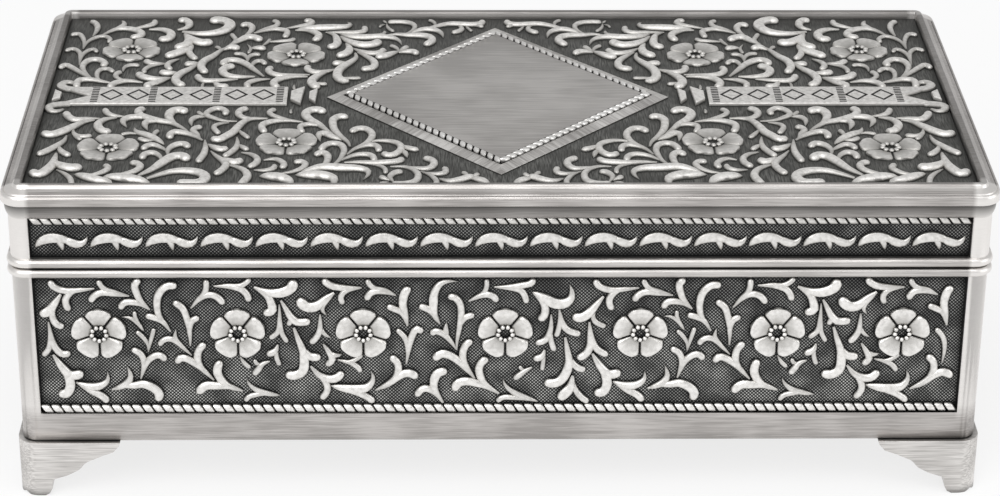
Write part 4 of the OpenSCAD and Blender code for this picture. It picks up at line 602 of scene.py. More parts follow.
# Scrolls of the wall relief, millimetres along the wall and above the floor, each from root to end.
# The number before them is the width of the fat end, negative where the arm ends in a point.
# These repeat once along a long wall.
wallArms = [
    (1.5, [(-82, 47.3), (-85, 47), (-88, 46.9), (-90.2, 47.8), (-91, 49.3)]),
    (1.5, [(-83, 47.3), (-86.2, 46.8), (-87.8, 45.2), (-87.9, 43.6), (-87.2, 42.3)]),
    (1.2, [(-75.1, 45.6), (-77.8, 46.5), (-80.2, 47.4), (-81.3, 49.3)]),
    (1.5, [(-75.1, 45.6), (-78.2, 46.1), (-80.8, 46.4), (-82.4, 45.4), (-83, 44.2)]),
    (2, [(-91.2, 32.3), (-89.6, 29.7), (-88.4, 27.4), (-88, 25.3), (-88.9, 23.4), (-90.7, 23.2)]),
    (2, [(-91.2, 32.3), (-89.4, 29.2), (-87.8, 27.6), (-85.1, 27.9)]),
    (-1.6, [(-86.8, 25.8), (-84.5, 24.9), (-82, 25), (-80.4, 26.3), (-80.3, 28.3)]),
    (1.6, [(-86.8, 25.8), (-84, 23.9), (-81.8, 22.7), (-80.4, 21.2)]),
    (1.9, [(-79.6, 24.1), (-77.1, 25), (-75, 25.1), (-73.2, 25.4), (-71.3, 24.7), (-70, 23.2),
          (-70.4, 21.4)]),
    (-1.4, [(-79.6, 24.1), (-77, 25.2), (-75.7, 26.8), (-75.8, 28.2), (-76.3, 29.6)]),
    (-0.9, [(-72.4, 37.4), (-73.7, 39.5), (-75.3, 40.7), (-77.1, 40.8)]),
    (0.9, [(-72.9, 38.3), (-74.1, 40.8), (-74.2, 42.2)]),
    (1.5, [(-71.1, 42.5), (-72.9, 43.8), (-75, 44.3), (-76.3, 44), (-77.1, 42.6)]),
    (1.6, [(-71.1, 42.5), (-72.9, 44.7), (-73.8, 47.1), (-73.8, 48.4), (-72.7, 49.4)]),
    (1.7, [(-67.1, 37.5), (-68.4, 39.5), (-69.3, 41.3), (-69.6, 43.7), (-69.1, 46.1), (-67.4, 47.9),
          (-65.3, 47.9)]),
    (1.4, [(-67.1, 37.5), (-68.7, 39.9), (-70.5, 40.8), (-72.1, 41.2)]),
    (1, [(-71.8, 32.8), (-71.9, 34.8), (-73.2, 36.8), (-74.1, 37.6)]),
    (1, [(-71.8, 32.8), (-71.3, 35), (-70.8, 36.8), (-70.4, 38.3)]),
    (1.4, [(-73.6, 26.6), (-73, 28.9), (-72.8, 30.5), (-73.4, 32.4), (-75.2, 33.6)]),
    (1.5, [(-73.6, 26.6), (-72.4, 30), (-71.1, 31.6), (-69.5, 32.1), (-68.2, 30.8)]),
    (1.5, [(-63.2, 34.2), (-63.2, 37.4), (-63.7, 40.5), (-64.5, 42.9), (-66.3, 44.4)]),
    (1.4, [(-63.2, 35), (-63.2, 38.4), (-62.6, 40), (-61.1, 40.8)]),
    (1.3, [(-63, 32), (-64.5, 33.6), (-66.1, 35.3), (-67.6, 35.9), (-68.9, 35.3), (-69.5, 34.2)]),
    (-1, [(-64.6, 33.8), (-66.2, 36), (-65.9, 38.2)]),
    (1.6, [(-58.7, 26.3), (-60.5, 28.4), (-62.4, 30.2), (-65, 31.5), (-66.3, 30.2)]),
    (1.6, [(-58.7, 26.3), (-61.4, 29.6), (-61.8, 32), (-61.1, 33.9), (-60, 34.7)]),
    (1.3, [(-62.8, 42.8), (-61.3, 44.8), (-60, 46.1), (-59.5, 47.6), (-59.5, 49.4)]),
    (1.5, [(-62.8, 42.8), (-61, 44.9), (-59.2, 45.9), (-57.5, 45.5), (-56, 43.7)]),
    (1.2, [(-58, 47.8), (-55.2, 48), (-52.8, 47.9), (-51.3, 48.7), (-50.6, 49.6)]),
    (1.5, [(-58, 47.8), (-55, 47.8), (-52.4, 47.1), (-51.3, 45.8), (-50.9, 44.3)]),
    (2.2, [(-49.9, 47.6), (-47.6, 46.6), (-45.3, 46.3), (-43.2, 46.9), (-42.1, 48), (-42.2, 49.4)]),
    (1.8, [(-49.9, 47.6), (-47.4, 45.8), (-46.6, 44.2), (-46.4, 42.4), (-48.2, 41.5)]),
    (1.2, [(-44.9, 43.7), (-44.9, 40.5), (-45.3, 37.5), (-47.1, 35.8)]),
    (1.1, [(-44.9, 43.7), (-44.8, 39.5), (-44.5, 37), (-43.4, 34.9)]),
    (1.7, [(-44.6, 44.6), (-43.7, 42.9), (-42.6, 40.8), (-41.4, 39.7), (-38.6, 39.8)]),
    (1.2, [(-43, 41.4), (-42.7, 40), (-43.3, 38.8)]),
    (2, [(-42.1, 38.4), (-41.3, 35.8), (-40.4, 33.2), (-40.1, 30.5), (-40.5, 28.4), (-42.1, 27.4),
          (-44.1, 27.6)]),
    (1.8, [(-40.8, 34.2), (-40, 33), (-39, 31.8), (-36.6, 31.5)]),
    (1.4, [(-36.7, 41.4), (-36.7, 39.5), (-36.9, 37.4), (-37.9, 35.6), (-38.9, 34.8)]),
    (-0.9, [(-36.7, 38.8), (-36, 37), (-34.3, 35.8)]),
    (2.2, [(-33.7, 46.3), (-35.5, 45), (-37.1, 43.5), (-38.9, 43.1), (-40.4, 44.1), (-40.7, 45.3)]),
    (-1.2, [(-33.7, 46.3), (-35.8, 44), (-36.2, 42.4), (-35.2, 40.9)]),
    (1.6, [(-28.2, 47.4), (-31, 47.4), (-33.6, 47.7), (-35.2, 48.5), (-35.9, 49.6)]),
    (1.3, [(-28.2, 47.4), (-31, 46.9), (-32.2, 45.9), (-32.4, 44.7), (-31.8, 43.7)]),
    (1.2, [(-21.3, 45.7), (-23.4, 46.9), (-25.5, 47.3), (-26.6, 48.2), (-27.1, 49.4)]),
    (1.5, [(-21.3, 45.7), (-24, 46.6), (-26, 46.5), (-27, 45.4), (-27, 44.5)]),
    (1.5, [(-36.2, 34.6), (-35, 32.6), (-34.4, 31), (-35.7, 29.6)]),
    (-1, [(-35, 32.7), (-33.6, 31.9), (-32.2, 32.2)]),
    (1, [(-33.3, 30.9), (-31, 30.5), (-29.6, 31), (-28.2, 32.1)]),
    (1.2, [(-33.3, 30.9), (-30.6, 30.2), (-29.2, 29.2), (-28.5, 28)]),
    (1.8, [(-38.9, 29.5), (-37.1, 27.4), (-35, 26.5), (-33.4, 26.9), (-32.2, 28.2)]),
    (1.5, [(-38.9, 29.5), (-36.3, 26.5), (-35.5, 24.7), (-35.7, 23.3), (-36.9, 21.8)]),
    (-1.9, [(-34.7, 24.9), (-31.8, 24.3), (-29.2, 24.2), (-27.4, 24.5), (-26.3, 25.8), (-26.1, 27.1),
          (-26.6, 28.3)]),
    (1.5, [(-34.7, 24.9), (-31.4, 23.9), (-28.9, 23.1), (-27.1, 22.1), (-25.9, 21)]),
    (1.6, [(-25.5, 23.9), (-23, 25.1), (-21.4, 27), (-20.9, 28.8), (-21.2, 30.4), (-22.6, 31.8)]),
    (1.8, [(-25.5, 23.9), (-22.6, 25.6), (-20.6, 27.3), (-18.7, 27.9), (-16.9, 26.7)]),
    (1.2, [(-19.3, 29.9), (-19, 33.4), (-19.5, 35.9), (-21.2, 38)]),
    (1.5, [(-19.3, 29.9), (-18.6, 34.4), (-17.9, 36.8), (-17.1, 38), (-15.8, 37.2)]),
    (1.9, [(-52.9, 23.7), (-55.6, 24.8), (-58.2, 25), (-60.2, 25.1), (-61.4, 24.2), (-61.9, 23)]),
    (1.8, [(-52.9, 23.7), (-55.8, 24.9), (-57.2, 26.4), (-57.9, 28.3), (-57.5, 30), (-56.8, 30.6)]),
    (1, [(-53.2, 31.8), (-52.4, 30.3), (-51.1, 29)]),
    (1.4, [(-47.1, 30.6), (-48.6, 30), (-49.5, 28.8), (-50.6, 27.4)]),
    (0.9, [(-48.6, 30), (-49.8, 30), (-50.3, 31.1)]),
    (1.5, [(-45.4, 34.5), (-46, 33), (-47.8, 32.1)]),
    (1.1, [(-45.4, 34.5), (-45.8, 32.2), (-45.5, 30.6), (-45, 29.6)]),
    (1.2, [(-45.3, 22.6), (-48.2, 23.1), (-50, 22.9), (-51.6, 22.4), (-52.5, 21.3)]),
    (-1.2, [(-45.3, 22.6), (-48.4, 23.3), (-50.4, 24.2), (-51.7, 25.6), (-52, 26.8)]),
    (1.8, [(-19, 38.7), (-19.3, 41), (-19.9, 44), (-19.4, 46.5), (-18.3, 47.5)]),
    (1.4, [(-19, 38.7), (-20, 41.6), (-21.6, 42.6), (-23.2, 43.3)]),
]

# Scrolls at the left end and in the middle, which come once
wallArmsOnce = [
    (2, [(-88.8, 46.1), (-90.2, 44), (-91.4, 42.4), (-93.4, 41.3)]),
    (1.5, [(-88.8, 46.1), (-90.6, 43), (-90.8, 40.8), (-90, 39.2), (-88.5, 38.6)]),
    (1.3, [(-91.7, 39.8), (-91.5, 36.5), (-91.9, 33.8), (-93.3, 31.9)]),
    (1.5, [(-91.7, 39.8), (-91.2, 35.5), (-90.2, 33.2), (-88.8, 32.3), (-87.6, 32.9)]),
    (-1.7, [(-12.4, 39.1), (-13.5, 41.3), (-13.7, 43.8), (-13.5, 46.2), (-12.3, 48.3), (-10.6, 48.9),
          (-8.5, 48.7)]),
    (1.5, [(-12.4, 39.1), (-14.3, 42.2), (-16.7, 43.4)]),
    (1.5, [(-9, 33.2), (-8.9, 35.3), (-8.4, 38.6), (-8.1, 41.3), (-8.3, 43.7), (-9.4, 45.2), (-10.9, 45.4)]),
    (1.4, [(-8.6, 37.4), (-8, 39.6), (-7, 40.8), (-5.3, 41.2)]),
    (1.4, [(-9, 33.2), (-10.3, 35.3), (-11.8, 36.9), (-13.5, 37.5), (-14.1, 36.5)]),
    (-1.1, [(-10.8, 36), (-11.2, 38), (-11, 39.6)]),
    (1.8, [(-5.3, 26.6), (-7.4, 29.2), (-9.3, 31.2), (-11.9, 32.4), (-13.8, 30.9)]),
    (1.6, [(-5.3, 26.6), (-7.4, 30.2), (-7.7, 32.6), (-6.9, 34.6), (-5.7, 35.3)]),
    (1.9, [(-0.3, 23), (-2.9, 24.7), (-5.1, 25.5), (-7.2, 26), (-8.8, 25.4), (-9.5, 23.6)]),
    (1.7, [(-0.3, 23), (-3.2, 25.3), (-4.1, 27.1), (-4.4, 29), (-3.5, 30.7), (-2.4, 30.8)]),
    (1.6, [(-11.8, 20.9), (-12.9, 22.6), (-14.3, 23.9), (-15.9, 24.2), (-17.4, 22.4)]),
    (1.9, [(-11.8, 20.9), (-13.5, 24), (-13.6, 26.2), (-12.8, 27.9), (-10.8, 28.3)]),
    (1.2, [(7.7, 21.1), (4.9, 21.8), (2.3, 22.1), (0.5, 22.1), (-0.8, 21.1)]),
    (-1.2, [(7.7, 21.1), (4, 22.6), (1.9, 23.9), (0.8, 25.3), (0.5, 26.7)]),
    (1.1, [(-6.6, 44.3), (-4.5, 45.5), (-3.3, 46.6), (-2.9, 48), (-3, 49.4)]),
    (1.5, [(-6.6, 44.3), (-4.4, 45.5), (-2.9, 45.9), (-1.4, 45.3), (-0.8, 44.1)]),
    (1.5, [(-1.4, 47.5), (1.8, 47.6), (4.4, 48), (6, 48.4), (6.7, 49.5)]),
    (1.4, [(-1.4, 47.5), (1.8, 47.3), (3.9, 46.8), (4.8, 45.5), (5.2, 43.8)]),
    (-2.1, [(6.4, 46.4), (8.9, 45), (11, 43.9), (12.9, 43.9), (14.2, 45), (14.3, 46.6), (13.8, 48.2)]),
    (1.7, [(6.4, 46.4), (8.4, 44.2), (9, 42.4), (8.6, 40.8), (7.5, 40.1)]),
    (1.4, [(10.2, 41.3), (10.2, 38.7), (9.8, 36.6), (8.9, 35.3), (7, 34.6)]),
    (1.3, [(10.3, 38.4), (10.2, 35.6), (11, 32.8)]),
    (1.2, [(11.8, 42.4), (12, 39.8), (11.7, 37.6), (11.2, 36.1)]),
    (1.5, [(11.8, 42.4), (12.5, 39.4), (13.6, 37.7), (16.3, 36.7)]),
    (2, [(13.1, 36.1), (13.6, 33.2), (14, 30.2), (13.1, 27.2), (11.5, 25.6), (8.9, 25.5)]),
    (1.5, [(13.8, 32.4), (14.6, 30.4), (15.8, 29), (17.5, 28.5)]),
    (1.5, [(9, 33.2), (8.4, 31.6), (6.6, 31)]),
    (1, [(9, 33.2), (8.8, 31), (8.5, 28.3)]),
    (1.3, [(6.5, 29.1), (5.2, 28.4), (4.2, 27.6), (2.7, 26.3)]),
    (0.9, [(5, 28.5), (4.2, 28.8), (3.9, 29.5)]),
    (2.2, [(14.8, 27.2), (14.4, 24.6), (13, 22.8), (12, 21.6)]),
    (1.4, [(14.8, 27.2), (15.2, 24.4), (16.4, 22.4), (18.2, 20.9)]),
    (1.7, [(18, 39.6), (18.2, 36.5), (18.3, 34.2), (17.4, 32.2), (15.6, 31.1)]),
    (1.5, [(18, 39.6), (18.6, 35.6), (19.6, 33.4), (22, 31.8)]),
    (2, [(20.8, 45.4), (19.4, 43.6), (18, 41.8), (16.2, 40.6), (14.4, 40.9)]),
    (1.2, [(19.6, 43), (18.7, 41.2), (19.2, 39.6), (21.4, 38.4)]),
]

wallPattern = {
    "repeat": 109.9, "flowersX": (-81.6, -53.5, -28, 0.9, 28.4, 56.4, 81.9), "flowerHeight": 37,
    "flowerScale": 0.9, "flowerRoom": 6, "armGap": 0.3, "ropeGap": 0.3, "leafPitch": 11, "ropePitch": 2.07,
    "wallRope": 0.95, "wallRopeLift": 1.0, "friezeRope": 0.87, "friezeRopeLift": 0.72,
}

# One leaf of the frieze: the arched blade with its turned-up end, and the spur below
leafArms = [
    (-2.15, [(-5.3, -1.3), (-4.4, -0.2), (-3.2, 0.55), (-1.7, 0.85), (-0.2, 0.65), (1.2, 0.15),
          (2.4, -0.4), (3.6, -0.6)]),
    (-1.8, [(-0.4, 0.75), (1.2, 0.15), (2.6, -0.45), (3.8, -0.6), (4.7, 0), (5.3, 1.15)]),
    (-1.4, [(-1.3, 0.8), (-0.4, -0.1), (0, -1.1), (0.2, -2.3)]),
]


def panelPlace(node):
    # Turns a relief drawn flat, with Y up the wall, onto the side that the node is on
    low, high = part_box(node)
    thick = plateThickness
    if "front" in node:
        place, turn = (0, high[1] - thick, 0), 0
    elif "back" in node:
        place, turn = (0, low[1] + thick, 0), pi
    elif "left" in node:
        place, turn = (high[0] - thick, 0, 0), -pi / 2
    else:
        place, turn = (low[0] + thick, 0, 0), pi / 2
    return Matrix.Translation(place) @ Matrix.Rotation(turn, 4, "Z") @ Matrix.Rotation(pi / 2, 4, "X")


plateThickness = 0.9 * mm


def shifted(arms, by):
    return [(width, [(x + by, y) for x, y in points]) for width, points in arms]


def within(arms, limit):
    return [arm for arm in arms if all(abs(x) <= limit for x, y in arm[1])]


def widened(arms, scale):
    return [(width * scale, points) for width, points in arms]


def halfLength(node):
    low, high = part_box(node)
    return max(high[0] - low[0], high[1] - low[1]) / 2 / mm


def wallPanel(node, name):
    half = halfLength(node)
    low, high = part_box(node)
    bm = bmesh.new()
    layPlate(bm, half, low[2] / mm, high[2] / mm, plateThickness / mm)
    arms = wallArms + shifted(wallArms, wallPattern["repeat"]) + wallArmsOnce
    sweepArms(bm, widened(within(arms, half - wallPattern["armGap"]), reliefShape["wallArmScale"]),
              reliefShape["wallLift"])
    flower = flowerMesh(flowerShape)
    for x in wallPattern["flowersX"]:
        if abs(x) < half - wallPattern["flowerRoom"]:
            place = Matrix.Translation((x * mm, wallPattern["flowerHeight"] * mm, 0))
            scale = wallPattern["flowerScale"]
            stamp(bm, flower, place @ Matrix.Diagonal((scale, scale, 1, 1)))
    radius = wallPattern["wallRope"]
    layRope(bm, 2 * (half - wallPattern["ropeGap"]), low[2] / mm + radius, radius,
            wallPattern["ropePitch"], wallPattern["wallRopeLift"])
    noteReliefPlace(bm)
    bmesh.ops.transform(bm, matrix=panelPlace(node), verts=bm.verts)
    addPiece(name, bm, wallRelief, "body", [node])


def lidFrieze(node, name):
    half = halfLength(node)
    low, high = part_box(node)
    bottom, top = low[2] / mm, high[2] / mm
    bm = bmesh.new()
    layPlate(bm, half, bottom, top, plateThickness / mm)
    count = floor(2 * half / wallPattern["leafPitch"])
    middle = bottom + (top - bottom - 2 * wallPattern["friezeRope"]) / 2
    arms = []
    for i in range(count):
        x = (i - (count - 1) / 2) * wallPattern["leafPitch"]
        arms += [(width, [(px + x, py + middle) for px, py in points]) for width, points in leafArms]
    sweepArms(bm, arms, reliefShape["leafLift"])
    radius = wallPattern["friezeRope"]
    layRope(bm, 2 * (half - wallPattern["ropeGap"]), top - radius, radius,
            wallPattern["ropePitch"], wallPattern["friezeRopeLift"])
    noteReliefPlace(bm)
    bmesh.ops.transform(bm, matrix=panelPlace(node), verts=bm.verts)
    addPiece(name, bm, wallRelief, "lid", [node])


for side in ("front", "back", "left", "right"):
    wallPanel(side + "_panel", side + "Relief")
    lidFrieze("lid_" + side + "_frieze", side + "LeafFrieze")
    print("relief cast on the", side)

# Acanthus scrolls of the lid's left half, millimetres from the middle of the lid, each from root to end.
# The right half mirrors them.
lidArms = [
    (1.8, [(-89.8, 34.4), (-89.3, 37.2), (-89.3, 39.8), (-90, 42), (-91.2, 43.2)]),
    (1.5, [(-91.2, 27), (-91.3, 30.5), (-92, 33.6), (-93.2, 35.6), (-94.8, 34.8)]),
    (1.4, [(-91.2, 27), (-90.6, 31), (-89, 33.5), (-87.2, 34.2), (-85.8, 32.6), (-85.9, 30.6)]),
    (1.4, [(-91, 17.6), (-91.3, 22), (-91.8, 25), (-93.4, 26.8), (-95, 25.6)]),
    (1.3, [(-91, 17.6), (-91, 23), (-90, 25.8), (-88.8, 26.6), (-87.9, 25)]),
    (1.8, [(-87.3, 9.8), (-90, 13), (-92.4, 16), (-94, 17.4), (-95.1, 15.6)]),
    (2, [(-87.3, 9.8), (-89.4, 13.6), (-90.2, 17), (-89.3, 19.9), (-87.2, 20.5), (-85.5, 18.4), (-86, 16.8)]),
    (1.5, [(-82.7, 7.6), (-85.6, 9), (-86.6, 12), (-86.2, 14.8), (-84.6, 15.4), (-83.1, 13.6)]),
    (2, [(-82.7, 7.6), (-85, 8.4), (-88, 9.4), (-90.2, 8.6), (-90.2, 5)]),
    (1.6, [(-80.2, 9.2), (-82.2, 10.6), (-82.4, 12.6), (-81.4, 13.8)]),
    (2, [(-76.3, 8), (-79.6, 8.6), (-82, 7.6), (-83, 5.8), (-83, 4.8)]),
    (1.4, [(-81.2, 14.1), (-81, 16.4), (-79.6, 17.6), (-77.8, 17.2)]),
    (2.2, [(-87.7, 35.2), (-86, 37.4), (-84.4, 38.6), (-81.8, 38.4), (-79.4, 36.6), (-79.2, 34.4),
          (-81.4, 33.2)]),
    (-1.6, [(-85.6, 38), (-83.6, 40.4), (-83.6, 42.2), (-84.4, 44.2)]),
    (1.8, [(-81.4, 39), (-78.6, 40), (-76.8, 41.6), (-76.8, 43.6)]),
    (2.6, [(-77.6, 38.4), (-75, 38.2), (-72.8, 36.4), (-72.4, 34), (-73.4, 32.2), (-75, 32.6)]),
    (2.4, [(-71.3, 38.2), (-69.4, 39.1), (-68.8, 41.3), (-69.8, 43.5), (-71.6, 43.4)]),
    (3.2, [(-70, 37), (-66, 35.5), (-62, 36.2), (-59.8, 39.1), (-60, 41.9), (-62.2, 43.5), (-64.4, 42.9)]),
    (2.8, [(-69.4, 35.7), (-68.3, 32), (-68.6, 29), (-71, 27)]),
    (3, [(-69.4, 35.7), (-67.4, 32), (-65, 30), (-62.8, 30.8)]),
    (2.8, [(-67.2, 29.1), (-67.8, 26.4), (-70, 24.4), (-72.6, 22)]),
    (2, [(-67.2, 29.1), (-67.6, 25), (-66.6, 22), (-65.6, 20.8)]),
    (2.3, [(-59.5, 28), (-60.8, 25.8), (-62.3, 22.4), (-64, 19.6), (-64.4, 16.6), (-63.6, 14),
          (-62.8, 13.2)]),
    (1.2, [(-60.7, 25.8), (-61.2, 27.4), (-62.1, 28.2)]),
    (2.4, [(-60.2, 26.4), (-58.6, 27.6), (-56.6, 26.8)]),
    (1.4, [(-59.1, 29.1), (-57.8, 32), (-58.4, 34), (-59, 35.6)]),
    (2.4, [(-59.1, 29.1), (-57.2, 31.4), (-55, 33.6), (-53, 32.8), (-52.4, 31.4)]),
    (2, [(-56.3, 33.8), (-54.8, 37), (-54.6, 39.6), (-55.8, 41.2), (-57.2, 40.2)]),
    (1.6, [(-54.1, 36.3), (-51.6, 38.6), (-49.4, 40.2), (-49, 42.4), (-50.2, 43.6)]),
    (1.8, [(-54.1, 36.3), (-50, 38.4), (-48.1, 38.2), (-46.6, 37), (-47, 33.5)]),
    (1.1, [(-51.9, 28.5), (-50.6, 31), (-50.2, 32.6)]),
    (1.4, [(-50.8, 31.2), (-46, 31.6), (-44.6, 32.8)]),
    (0.8, [(-46, 31.4), (-44.2, 29)]),
    (1, [(-55.1, 29.8), (-54.2, 27), (-54.6, 24.4)]),
    (2, [(-54.2, 27.4), (-52.6, 27.3), (-50.8, 26.8)]),
    (1.4, [(-54.5, 19.5), (-54.8, 22), (-56, 23.8), (-57.8, 24)]),
    (1.4, [(-54.5, 19.5), (-54.3, 22.4), (-53, 23.6), (-51.8, 23.4)]),
    (2.2, [(-50.4, 11.2), (-52.8, 15), (-55, 18.4), (-57.6, 20.2), (-59.4, 19.4), (-59.6, 17.4)]),
    (1.6, [(-53.4, 16), (-53, 19), (-51.6, 19.8), (-50.4, 18)]),
    (2.4, [(-52.4, 11.2), (-56, 10.8), (-58.4, 11.6), (-59.6, 14.2), (-58.6, 16.2), (-57, 16.9)]),
    (1.8, [(-49, 9.9), (-52, 9), (-53.8, 7), (-53.4, 4.9)]),
    (2, [(-56, 9.8), (-60, 8.8), (-63, 8.6), (-64.4, 10), (-64.8, 11.8)]),
    (0.9, [(-62.6, 8.6), (-63.3, 7.4), (-63.4, 4.9)]),
    (2, [(-61.4, 8.6), (-60.8, 8), (-59.8, 5.8), (-57.6, 5.6)]),
    (2.4, [(-64.8, 19), (-66.6, 15.6), (-68.6, 12.6), (-69.4, 9.4), (-68.4, 6.8), (-67, 6.2)]),
    (2.2, [(-65, 18.8), (-67, 18), (-68.2, 17.8)]),
    (2.4, [(-69, 13.2), (-71.6, 12.8), (-73.2, 13.6)]),
    (1.8, [(-69.6, 21.2), (-71.4, 19), (-71.8, 17), (-70.8, 14.8)]),
    (2, [(-72.4, 18.6), (-75, 18.2), (-77, 20)]),
    (1.4, [(-72.4, 18.4), (-75.4, 17), (-76.6, 14.8), (-76.4, 13.2)]),
    (2.4, [(-70.6, 10.6), (-73.6, 9.6), (-76.4, 10.6), (-77.8, 12.8)]),
    (2.2, [(-70.8, 10.2), (-73.4, 7.6), (-75.2, 6), (-74.4, 4.9)]),
    (-2.6, [(-44.5, 38.6), (-40, 38.9), (-36.5, 39.2), (-33.6, 39.8), (-32.6, 41.3), (-33.4, 43.3)]),
    (1.8, [(-47, 39.2), (-44.5, 40), (-42.2, 41), (-41.2, 42.3), (-42, 43.6), (-43, 43)]),
    (2.2, [(-44.8, 38), (-42.8, 38), (-41, 37), (-39.6, 35.2), (-39.6, 33), (-40.6, 31.6)]),
    (2.4, [(-37.5, 36.6), (-36, 35), (-35.4, 32.5), (-35.2, 30), (-36, 28), (-37.4, 28.2)]),
    (1.8, [(-38, 36.8), (-34, 36.5), (-31.5, 36.2), (-29.6, 37), (-29.2, 38.4), (-29.5, 39.8)]),
    (-2.2, [(-34.8, 36), (-32.5, 34), (-29, 33.5), (-25.5, 33.8), (-23, 33.3), (-21.5, 31.8), (-20.8, 29.2)]),
    (1, [(-32, 34.2), (-29, 34.9), (-26, 35.3), (-24.8, 36.2), (-24.8, 37.3)]),
    (2.3, [(-24.5, 34.9), (-22, 35.4), (-19.5, 34.8), (-16.5, 34.6), (-14.6, 33.5), (-14.1, 31.5),
          (-15, 29.8), (-15.9, 29)]),
    (1.7, [(-20.6, 35.4), (-19, 37), (-18.1, 39), (-18.2, 41), (-19.6, 42.4), (-22, 42.8), (-24.2, 42.6)]),
    (-0.8, [(-24.2, 42.4), (-24.9, 43.2), (-25.4, 44.2)]),
    (1.1, [(-24.4, 42.2), (-24.2, 40), (-23.6, 38.4), (-22.7, 37.2)]),
    (0.8, [(-24.5, 41.8), (-25.5, 41), (-26, 39.8)]),
    (-1.9, [(-19, 36.4), (-16.5, 38), (-14.8, 38.3), (-13, 37.5), (-12, 36), (-11.6, 33.6)]),
    (2, [(-17.5, 37.2), (-14.5, 39.3), (-12.5, 40.6), (-10, 41.6), (-7, 41.3), (-4.5, 41.2), (-3, 42),
          (-2.8, 43.5)]),
    (1.2, [(-13.6, 40.2), (-13.5, 42), (-14, 43.2), (-15, 44)]),
    (1.7, [(-8.5, 41.2), (-7.6, 39.8), (-7.6, 38), (-8.6, 36.8), (-9.8, 36.4)]),
    (1, [(-6.6, 40.8), (-6, 39), (-5.2, 37.4)]),
    (1.4, [(-5, 41.2), (-3.6, 40.6), (-2.6, 39.8)]),
    (2.8, [(-34.5, 34.2), (-33, 31.5), (-30.8, 29.4), (-28.5, 28.7), (-26.6, 29.8), (-26, 31.4)]),
    (2.6, [(-33.2, 30), (-32.5, 27.6), (-32.6, 25), (-33.8, 23.2), (-35.2, 22.6)]),
    (2, [(-31.8, 27.4), (-30, 25.5), (-28, 24.2), (-26.2, 24.2), (-25, 25.5), (-25.2, 26.6)]),
    (2.2, [(-30.5, 25), (-28.8, 22.8), (-27.2, 20.4), (-26.6, 18), (-27.2, 15.8), (-29.6, 15)]),
    (2.6, [(-31, 24.4), (-30.8, 21.8), (-31.8, 19.4), (-33, 17.4), (-34.2, 15), (-34.6, 12.5),
          (-34.4, 10.4), (-33.2, 8.6), (-32, 9)]),
    (2.2, [(-32.6, 18.9), (-34.5, 18.4), (-36, 18.4)]),
    (1.2, [(-34.4, 10.8), (-32, 10.2), (-29.4, 10.3)]),
    (2, [(-34.6, 15.4), (-36.2, 14.4), (-38.2, 13.4), (-40, 13.6), (-41.2, 15.2), (-41, 16.9)]),
    (2.6, [(-36.4, 14.4), (-38, 12.6), (-39.5, 10.2), (-40, 8), (-39.4, 6), (-38.4, 4.6)]),
    (1.4, [(-39.8, 8), (-38, 7), (-36.6, 7)]),
    (2, [(-40.6, 12.3), (-42.5, 12), (-45, 11.6), (-47.5, 11.8), (-49.2, 13.2), (-49.6, 15), (-48.8, 16.2)]),
    (2.2, [(-41, 11.2), (-44, 11), (-46.5, 10), (-48, 8.2), (-48, 6.4), (-47, 4.9)]),
    (0.9, [(-43.7, 6.9), (-43.7, 5.4), (-43.6, 4.2)]),
    (2.4, [(-21.5, 25.6), (-23, 24), (-24.5, 22.6), (-26.6, 21.8)]),
    (1.3, [(-21.3, 25.4), (-21.8, 27), (-22.6, 28.2), (-23.5, 28.8)]),
    (1.6, [(-21.4, 25.6), (-20.4, 27), (-19.4, 28.2)]),
    (2.1, [(-21.5, 25), (-19.5, 25.3), (-18, 24.9), (-17.4, 23.6)]),
    (2.2, [(-83.6, -11.3), (-86.3, -11.8), (-88.6, -12.3), (-90.2, -10.6), (-91, -8.4)]),
    (2.6, [(-84.6, -12.2), (-86.6, -13.2), (-88.6, -15.8), (-90.6, -18.4), (-92.8, -20), (-94.8, -19)]),
    (1.6, [(-88.5, -16.8), (-88, -19.4), (-86.6, -20.8), (-84.2, -20.4)]),
    (1.4, [(-88.3, -18), (-87.6, -20.4), (-86.3, -22.4)]),
    (2, [(-89.5, -20.2), (-89.8, -23), (-91, -25.6), (-92.6, -28), (-94.4, -30)]),
    (1.9, [(-90.4, -25.4), (-90, -27.4), (-88.8, -29.4), (-87.6, -30.4)]),
    (2.8, [(-90.6, -29.2), (-90.6, -32), (-90.8, -35), (-91.6, -37.6), (-93, -39.6), (-94.6, -38)]),
    (3, [(-90.4, -32.6), (-89.6, -34.6), (-87.8, -36.2), (-86, -36.6), (-84.8, -35.6)]),
    (1.6, [(-89.6, -37), (-88, -38.8), (-86.6, -41), (-85.9, -43.6), (-85.8, -45.2)]),
    (-2.6, [(-85.8, -39.2), (-83, -41), (-80.5, -42.4), (-78.6, -43), (-77.8, -45.2)]),
    (1.8, [(-84.2, -39.9), (-81.5, -39.4), (-79.9, -38), (-79.3, -36.4), (-80.2, -34.9)]),
    (-3, [(-80, -40.6), (-77, -41), (-74.5, -41.8), (-72.4, -42.4), (-70.8, -43.6), (-70.5, -45.2)]),
    (2, [(-79, -40.4), (-76, -39.4), (-73.8, -38), (-72.9, -36), (-73.6, -34.3), (-75.2, -33.9)]),
    (2.8, [(-73, -40), (-70.4, -37), (-68.6, -33.8), (-66.8, -31.2), (-64.8, -30.8), (-63.6, -32.8)]),
    (1.9, [(-68.8, -33), (-69.4, -30.6), (-71, -29), (-72.6, -29.8), (-72.9, -32)]),
    (2.8, [(-71.2, -41.4), (-69, -39.8), (-66.2, -38.2), (-63.2, -38), (-60.4, -39.2), (-59.4, -41.4),
          (-60.5, -43.7), (-62.6, -44), (-65, -43.6)]),
    (2, [(-67.8, -30), (-68, -27.6), (-67, -25.4), (-65, -24.6), (-63.8, -26.4)]),
